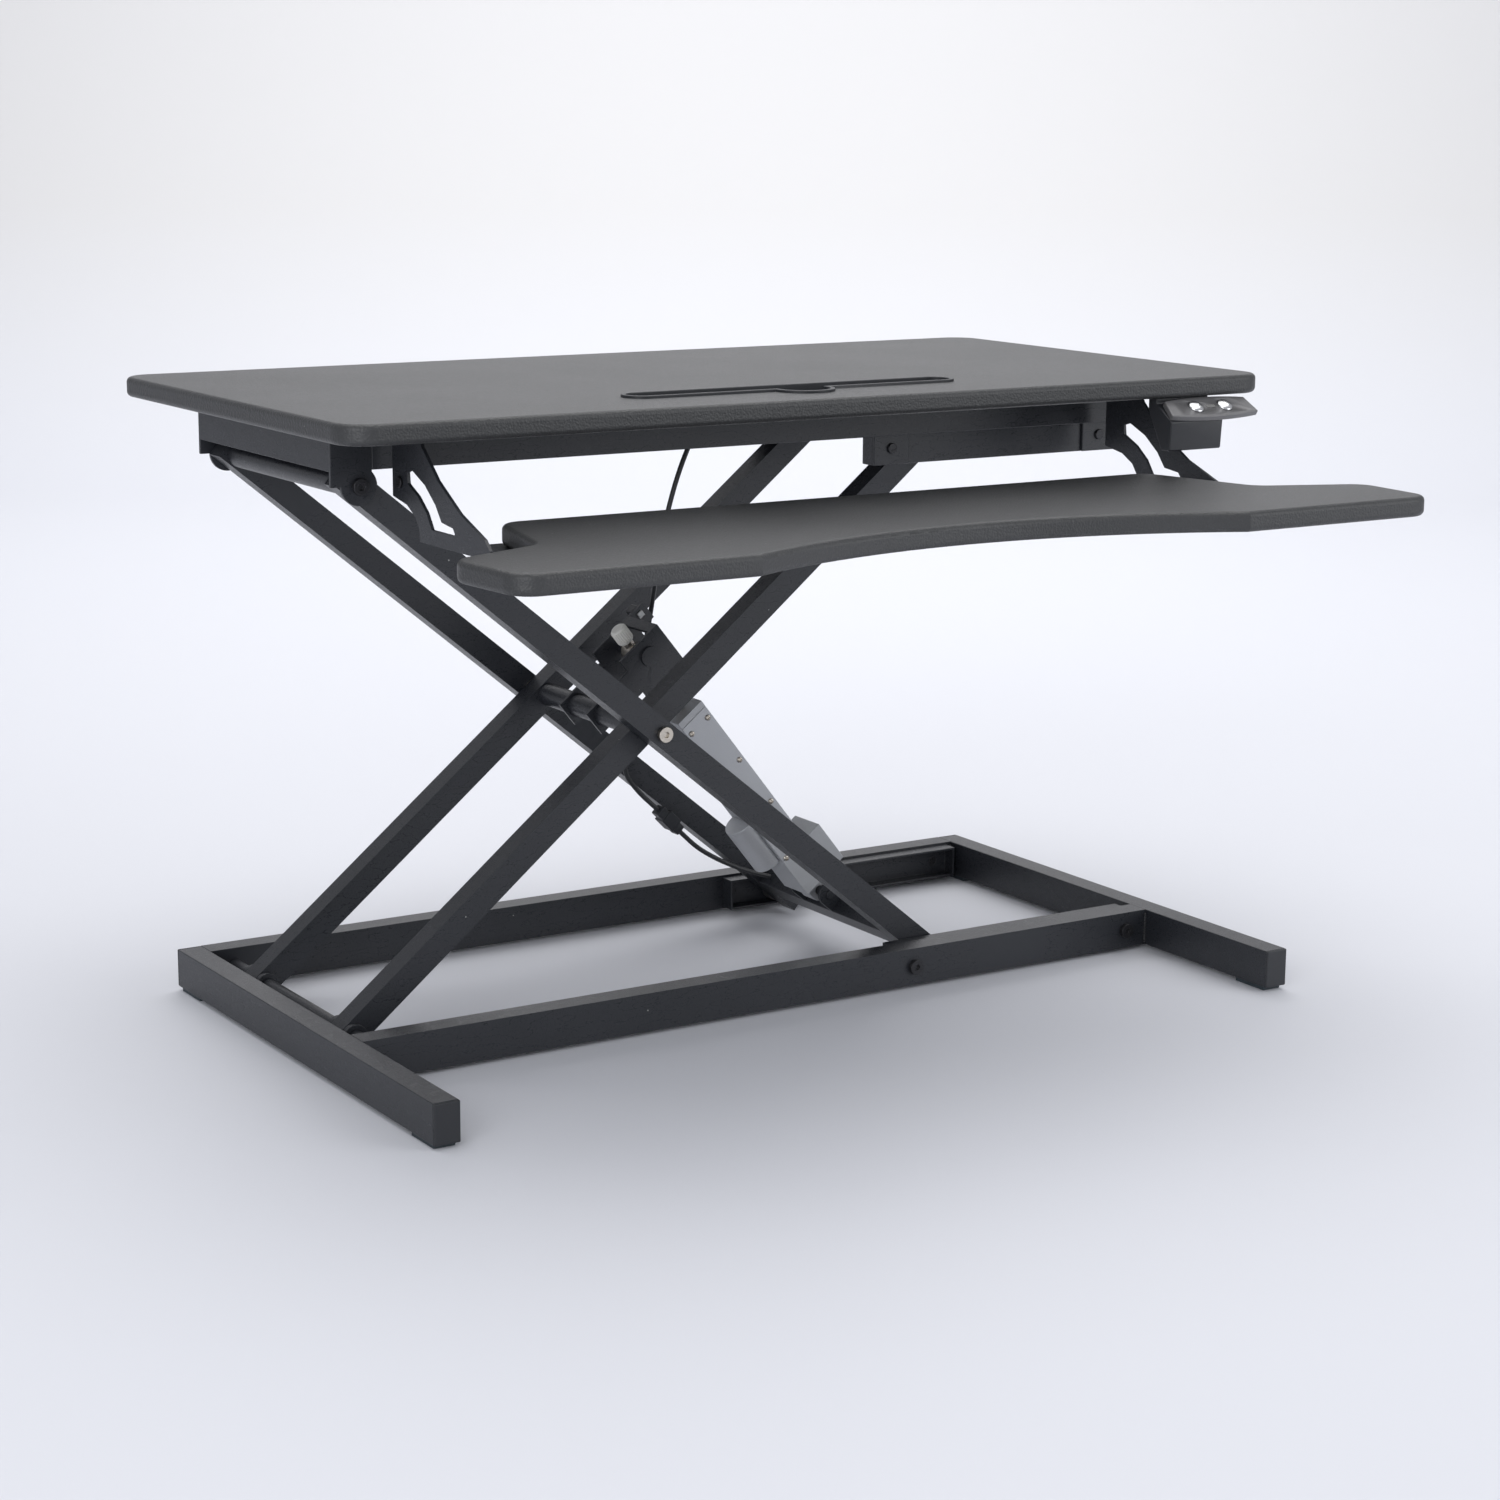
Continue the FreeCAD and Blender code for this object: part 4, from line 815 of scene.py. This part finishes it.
@dataclass
class Handset:
    """The height control: an arched grey face, a black body and two chromed buttons.

    Lengths are in millimetres, and slope is in degrees.
    """

    wide: float = 87.0
    deep: float = 24.0
    thick: float = 5.0
    slope: float = 34.0
    arch: float = 3.2
    taper: float = 7.0
    button_apart: float = 29.0
    button_radius: float = 6.5
    button_floor: float = 2.0
    button_tall: float = 4.8
    dome: float = 1.4
    hole_gap: float = 0.3
    hole_tall: float = 6.0
    arrow_half: float = 2.6
    arrow_back: float = 1.5
    arrow_tip: float = 2.2
    arrow_sunk: float = 0.2
    arrow_tall: float = 0.5
    window_long: float = 9.0
    window_wide: float = 3.6
    window_sunk: float = 0.4
    window_tall: float = 0.65
    body_round: float = 1.2
    face_round: float = 1.1
    rear_bow: float = 0.9
    steps: int = 18
    window_steps: int = 24

    def place(self) -> Matrix:
        """From the face's own space, its front left low corner, to object space."""
        low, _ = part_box("handset_panel")
        drop_y = self.thick * MM * math.sin(math.radians(self.slope))
        corner = Vector((low.x, low.y + drop_y, low.z))
        return Matrix.Translation(corner) @ Matrix.Rotation(math.radians(self.slope), 4, "X")

    def build(self) -> None:
        """Build and dress the handset."""
        softened("handset_body", "handset_body_moulded", BLACK_PLASTIC, Body.DESK,
                 self.body_round, 3)
        self.face()
        self.buttons()

    def button_spot(self, sign: int) -> Matrix:
        """From the foot of the left (-1) or right (1) button to the face's own space."""
        return Matrix.Translation(((self.wide + sign * self.button_apart) / 2 * MM,
                                   self.deep / 2 * MM, self.button_floor * MM))

    def edge(self, share: float, rear: bool) -> tuple[float, float]:
        """A point of the face's arched front or rear edge, by its share of the width."""
        side = 2 * share - 1
        bow = self.arch * (1 - side * side)
        if rear:
            inset = self.taper * 0.5
            across = inset + share * (self.wide - 2 * inset)
            return across, self.deep - self.arch * self.rear_bow + bow * self.rear_bow
        return share * self.wide, self.arch - bow

    def face(self) -> None:
        """The arched face with rounded edges, two button holes and a dark window."""
        shares = [step / self.steps for step in range(self.steps + 1)]
        front = [self.edge(share, False) for share in shares]
        rear = [self.edge(share, True) for share in reversed(shares)]
        place = self.place()
        mesh = bmesh.new()
        outline = [(x * MM, y * MM, 0.0) for x, y in front + rear]
        prism(mesh, outline, self.thick * MM, place)
        piece = add_mesh("handset_face", mesh)
        add_bevel(piece, self.face_round, 3, 40.0)
        cutter = bmesh.new()
        for sign in (-1, 1):
            radius = self.button_radius * MM + self.hole_gap * MM
            tall = self.hole_tall * MM
            lathe(cutter, [(0, 0), (radius, 0), (radius, tall), (0, tall)],
                  place @ self.button_spot(sign))
        holes = add_mesh("button_holes", cutter)
        add_cut(piece, holes)
        apply_modifiers(piece)
        drop(holes)
        PAINT.piece(piece, GREY_PLASTIC, Body.DESK)
        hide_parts("handset_panel")
        self.window(place)

    def window(self, place: Matrix) -> None:
        """The dark display window between the buttons."""
        mesh = bmesh.new()
        long = self.window_long
        wide = self.window_wide
        outline = []
        for step in range(self.window_steps):
            turn = 2 * math.pi * step / self.window_steps
            sign = 1 if math.cos(turn) >= 0 else -1
            outline.append((
                (self.wide / 2 + math.cos(turn) * wide / 2 + sign * (long - wide) / 2) * MM,
                (self.deep / 2 + math.sin(turn) * wide / 2) * MM,
                (self.thick - self.window_sunk) * MM))
        prism(mesh, outline, self.window_tall * MM, place)
        piece = add_mesh("handset_window", mesh)
        PAINT.piece(piece, DARK_SLOT, Body.DESK)

    def buttons(self) -> None:
        """Two domed chromed buttons, each with a raised arrowhead."""
        for node, body, sign, way in (("button_down", Body.DOWN, -1, -1),
                                      ("button_up", Body.UP, 1, 1)):
            place = self.place() @ self.button_spot(sign)
            radius = self.button_radius * MM
            tall = self.button_tall * MM
            shoulder = tall - self.dome * MM
            mesh = bmesh.new()
            profile = [(0, 0), (radius, 0), (radius, shoulder)]
            for step in range(1, 7):
                turn = math.pi / 2 * step / 7
                profile.append((radius * (1 - 0.16 * (1 - math.cos(turn))) - 0.5 * MM *
                                math.sin(turn) * 0.4, shoulder + math.sin(turn) * 1.1 * MM))
            profile += [(radius * 0.72, tall - 0.15 * MM), (radius * 0.4, tall), (0, tall)]
            lathe(mesh, profile, place, 48)
            base = tall - self.arrow_sunk * MM
            half = self.arrow_half * MM
            back = -self.arrow_back * way * MM
            arrow = [(-half, back, base), (half, back, base),
                     (0.0, self.arrow_tip * way * MM, base)]
            prism(mesh, arrow, self.arrow_tall * MM, place)
            piece = add_mesh(node + "_cap", mesh, 30)
            PAINT.piece(piece, CHROME, body)
            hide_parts(node)


@dataclass
class LinearActuator:
    """The actuator: housing, gear case, motor, rod, cap and the screws of the housing."""

    case_round: float = 1.6
    gear_round: float = 2.6
    end_round: float = 0.9
    rod_round: float = 0.4
    screw_radius: float = 2.4
    screw_tall: float = 1.3
    screw_count: int = 4
    screw_start: float = 98.0
    screw_step: float = 48.5
    screw_row: float = 9.5
    ridge_count: int = 22
    ridge_radius: float = 0.5
    cap_half: float = 7.0

    def build(self) -> None:
        """Build and dress the actuator."""
        soften_all([
            ("actuator_case", "actuator_case_drawn", CASE_METAL, Body.ACTUATOR,
             self.case_round, 3),
            ("gear_housing", "gear_housing_cast", CAST_METAL, Body.ACTUATOR, self.gear_round, 3),
            ("case_end_cap", "case_end_cap_cast", CAST_METAL, Body.ACTUATOR, self.end_round, 3),
            ("lift_motor", "lift_motor_can", CASE_METAL, Body.ACTUATOR, self.end_round, 3),
            ("lift_rod", "lift_rod_drawn", BOLT_ZINC, Body.ROD, self.rod_round, 2)])
        self.screws()
        self.ridged_cap()

    def along(self) -> tuple[Vector, Vector]:
        """The rod's line, from its cap to the lower lug: its start and its direction."""
        start = box_middle("rod_cap")
        return start, (box_middle("actuator_case") - start).normalized()

    def place(self) -> Matrix:
        """From the actuator's own space, X down the rod, to object space."""
        start, way = self.along()
        side = Vector((0.0, 1.0, 0.0))
        up = way.cross(side).normalized() * -1
        turn = Matrix((way, side, up)).transposed().to_4x4()
        return Matrix.Translation(start) @ turn

    def screws(self) -> None:
        """Pan screws with a cross recess, in a line along both sides of the housing."""
        mesh = bmesh.new()
        radius = self.screw_radius * MM
        tall = self.screw_tall * MM
        lathe(mesh, [(0, 0), (radius, 0), (radius, tall * 0.5), (radius * 0.8, tall * 0.9),
                     (radius * 0.45, tall), (0, tall)], Matrix.Identity(4), 20)
        shape = add_mesh("screw_shape", mesh)
        cutter = bmesh.new()
        arm = radius * 0.62
        slim = radius * 0.16
        for wide, deep in ((arm, slim), (slim, arm)):
            prism(cutter, [(-wide, -deep, tall * 0.45), (wide, -deep, tall * 0.45),
                           (wide, deep, tall * 0.45), (-wide, deep, tall * 0.45)],
                  tall, Matrix.Identity(4))
        cross = add_mesh("cross_shape", cutter)
        add_cut(shape, cross, overlapping=True)
        apply_modifiers(shape)
        drop(cross)
        start, way = self.along()
        low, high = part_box("actuator_case")
        for side, face in (("front", low.y), ("rear", high.y)):
            sign = -1 if side == "front" else 1
            turn = Matrix.Rotation(math.radians(-90 * sign), 4, "X")
            shape_turned = shape.copy()
            shape_turned.data = shape.data.copy()
            shape_turned.data.transform(turn)
            bpy.context.scene.collection.objects.link(shape_turned)
            for row, offset in (("upper", self.screw_row), ("lower", -self.screw_row)):
                first = start + way * (self.screw_start * MM)
                up = way.cross(Vector((0.0, 1.0, 0.0))) * -offset * MM
                place = Matrix.Translation(Vector((first.x, face, first.z)) + up)
                step = way * (self.screw_step * MM)
                piece = LINE.run("case_screws_%s_%s" % (side, row), shape_turned, BOLT_ZINC,
                                 place, Count=self.screw_count, Start=(0.0, 0.0, 0.0),
                                 Step=(step.x, 0.0, step.z), Uneven=0.0)
                PAINT.piece(piece, BOLT_ZINC, Body.ACTUATOR)
            drop(shape_turned)
        drop(shape)

    def ridged_cap(self) -> None:
        """The milky cap on the rod's end, with fine grip ridges round it."""
        place = self.place() @ Matrix.Rotation(math.radians(90), 4, "Y")
        low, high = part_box("rod_cap")
        radius = (high.y - low.y) / 2 - self.ridge_radius * MM
        half = self.cap_half * MM
        mesh = bmesh.new()
        lathe(mesh, [(0, -half), (radius * 0.82, -half), (radius, -half + 1.2 * MM),
                     (radius, half - 1.0 * MM), (radius * 0.9, half), (0, half)], place, 44)
        cap = add_mesh("rod_cap_moulded", mesh)
        PAINT.piece(cap, WHITE_PLASTIC, Body.ROD)
        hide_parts("rod_cap")
        ridge = bmesh.new()
        bmesh.ops.create_cone(ridge, cap_ends=True, segments=8,
                              radius1=self.ridge_radius * MM,
                              radius2=self.ridge_radius * MM, depth=half * 1.5)
        shape = add_mesh("ridge_shape", ridge)
        piece = RING.run("rod_cap_ridges", shape, WHITE_PLASTIC, place,
                         Count=self.ridge_count, Radius=radius)
        drop(shape)
        PAINT.piece(piece, WHITE_PLASTIC, Body.ROD)


@dataclass
class LiftCables:
    """The actuator's cable and its inline connector."""

    connector_round: float = 0.9

    def build(self) -> None:
        """Dress the cables and the connector."""
        for node in ("lift_cable_upper", "lift_cable_middle", "lift_cable_lower"):
            PAINT.node(node, CABLE_SKIN)
        softened("cable_connector", "cable_connector_moulded", BLACK_PLASTIC, Body.OUTER,
                 self.connector_round)


# ---- studio --------------------------------------------------------------------------


@dataclass
class Studio:
    """The floor, the sweep behind it, the lights and the camera. Lengths are in metres."""

    camera_at: Point = (-1.2853, -2.0020, 0.7123)
    heading: float = 0.564
    pitch: float = 0.208
    roll: float = 0.007
    lens: float = 75.81
    shift_y: float = -0.00505
    half_floor: float = 8.0
    sweep_start: float = 3.0
    sweep_radius: float = 1.4
    wall_tall: float = 6.0
    sweep_steps: int = 16
    floor_colour: Colour = (0.71, 0.72, 0.765)
    wall_colour: Colour = (0.66, 0.655, 0.66)
    wall_from: float = 0.45
    air_colour: Colour = (0.86, 0.88, 0.93)
    air_strength: float = 0.55

    def build(self) -> None:
        """Build the studio."""
        self.camera()
        self.backdrop()
        self.lights()

    def camera(self) -> None:
        """Place the camera."""
        cos_p = math.cos(self.pitch)
        ahead = Vector((math.sin(self.heading) * cos_p, math.cos(self.heading) * cos_p,
                        -math.sin(self.pitch)))
        right = Vector((math.cos(self.heading), -math.sin(self.heading), 0.0))
        up = right.cross(ahead)
        tilted = right * math.cos(self.roll) + up * math.sin(self.roll)
        upright = tilted.cross(ahead)
        turn = Matrix((tilted, upright, -ahead)).transposed()
        data = bpy.data.cameras.new("camera")
        data.lens = self.lens
        data.sensor_width = 36.0
        data.shift_y = self.shift_y
        data.clip_end = 50.0
        camera = bpy.data.objects.new("camera", data)
        camera.matrix_world = Matrix.Translation(self.camera_at) @ turn.to_4x4()
        bpy.context.scene.collection.objects.link(camera)
        bpy.context.scene.camera = camera

    def backdrop(self) -> None:
        """A pale floor that sweeps up into a pale wall, square to the camera."""
        profile = [(-self.half_floor, 0.0), (self.sweep_start, 0.0)]
        for step in range(1, self.sweep_steps + 1):
            turn = math.pi / 2 * step / self.sweep_steps
            profile.append((self.sweep_start + self.sweep_radius * math.sin(turn),
                            self.sweep_radius * (1 - math.cos(turn))))
        profile.append((self.sweep_start + self.sweep_radius, self.wall_tall))
        turn = Matrix.Rotation(-self.heading, 4, "Z")
        mesh = bmesh.new()
        rows = []
        for x in (-self.half_floor, self.half_floor):
            rows.append([mesh.verts.new(turn @ Vector((x, y, z))) for y, z in profile])
        for spot in range(len(profile) - 1):
            mesh.faces.new((rows[0][spot], rows[1][spot], rows[1][spot + 1], rows[0][spot + 1]))
        piece = add_mesh("backdrop", mesh, 60)
        material = bpy.data.materials.new("studio_paper")
        material.use_nodes = True
        tree = material.node_tree
        shader = tree.nodes["Principled BSDF"]
        shader.inputs["Roughness"].default_value = 0.62
        shader.inputs["Specular IOR Level"].default_value = 0.25
        spot = tree.nodes.new("ShaderNodeTexCoord")
        axes = tree.nodes.new("ShaderNodeSeparateXYZ")
        tree.links.new(spot.outputs["Object"], axes.inputs[0])
        ramp = tree.nodes.new("ShaderNodeValToRGB")
        ramp.color_ramp.elements[0].color = (*self.floor_colour, 1.0)
        ramp.color_ramp.elements[1].color = (*self.wall_colour, 1.0)
        ramp.color_ramp.elements[0].position = 0.0
        ramp.color_ramp.elements[1].position = self.wall_from
        tree.links.new(axes.outputs["Z"], ramp.inputs[0])
        noise = tree.nodes.new("ShaderNodeTexNoise")
        noise.inputs["Scale"].default_value = 1.6
        noise.inputs["Detail"].default_value = 3.0
        tree.links.new(spot.outputs["Object"], noise.inputs["Vector"])
        bump = tree.nodes.new("ShaderNodeBump")
        bump.inputs["Strength"].default_value = 0.05
        bump.inputs["Distance"].default_value = 0.01
        tree.links.new(noise.outputs["Fac"], bump.inputs["Height"])
        tree.links.new(bump.outputs["Normal"], shader.inputs["Normal"])
        tree.links.new(ramp.outputs["Color"], shader.inputs["Base Color"])
        piece.data.materials.append(material)

    def area(self, name: str, at: Point, toward: Point, size: float, power: float,
             colour: Colour) -> None:
        """Add one soft area light.

        Args:
            name: the light's name.
            at: its place.
            toward: the point that it faces.
            size: its side.
            power: its watts.
            colour: its colour.
        """
        data = bpy.data.lights.new(name, "AREA")
        data.shape = "SQUARE"
        data.size = size
        data.energy = power
        data.color = colour
        light = bpy.data.objects.new(name, data)
        light.location = at
        light.rotation_euler = (Vector(toward) - Vector(at)).to_track_quat("-Z", "Y").to_euler()
        bpy.context.scene.collection.objects.link(light)

    def lights(self) -> None:
        """A broad overhead light, two front fills and one on the wall."""
        self.area("wall_wash", (1.5, 2.4, 3.0), (2.4, 3.8, 0.7), 2.6, 58.0, (1.0, 1.0, 1.0))
        self.area("overhead", (0.3, 0.4, 3.0), (0.0, 0.1, 0.3), 3.2, 60.0, (1.0, 0.99, 0.98))
        self.area("front_left", (-3.0, -2.6, 1.4), (0.0, 0.0, 0.2), 2.8, 70.0, (0.97, 0.98, 1.0))
        self.area("front_right", (2.6, -3.0, 1.4), (0.0, 0.0, 0.3), 2.4, 42.0, (0.98, 0.99, 1.0))
        world = bpy.data.worlds.new("studio_air")
        world.use_nodes = True
        sky = world.node_tree.nodes["Background"]
        sky.inputs["Color"].default_value = (*self.air_colour, 1.0)
        sky.inputs["Strength"].default_value = self.air_strength
        bpy.context.scene.world = world
        bpy.context.scene.view_settings.view_transform = "Standard"


def main() -> None:
    """Build every sub-assembly in order."""
    for part in (Studio(), BaseFrame(), ScissorLift(), DeskTop(), KeyboardTray(), Handset(),
                 LinearActuator(), LiftCables()):
        log.info("building %s", type(part).__name__)
        part.build()


if __name__ == "__main__":
    main()
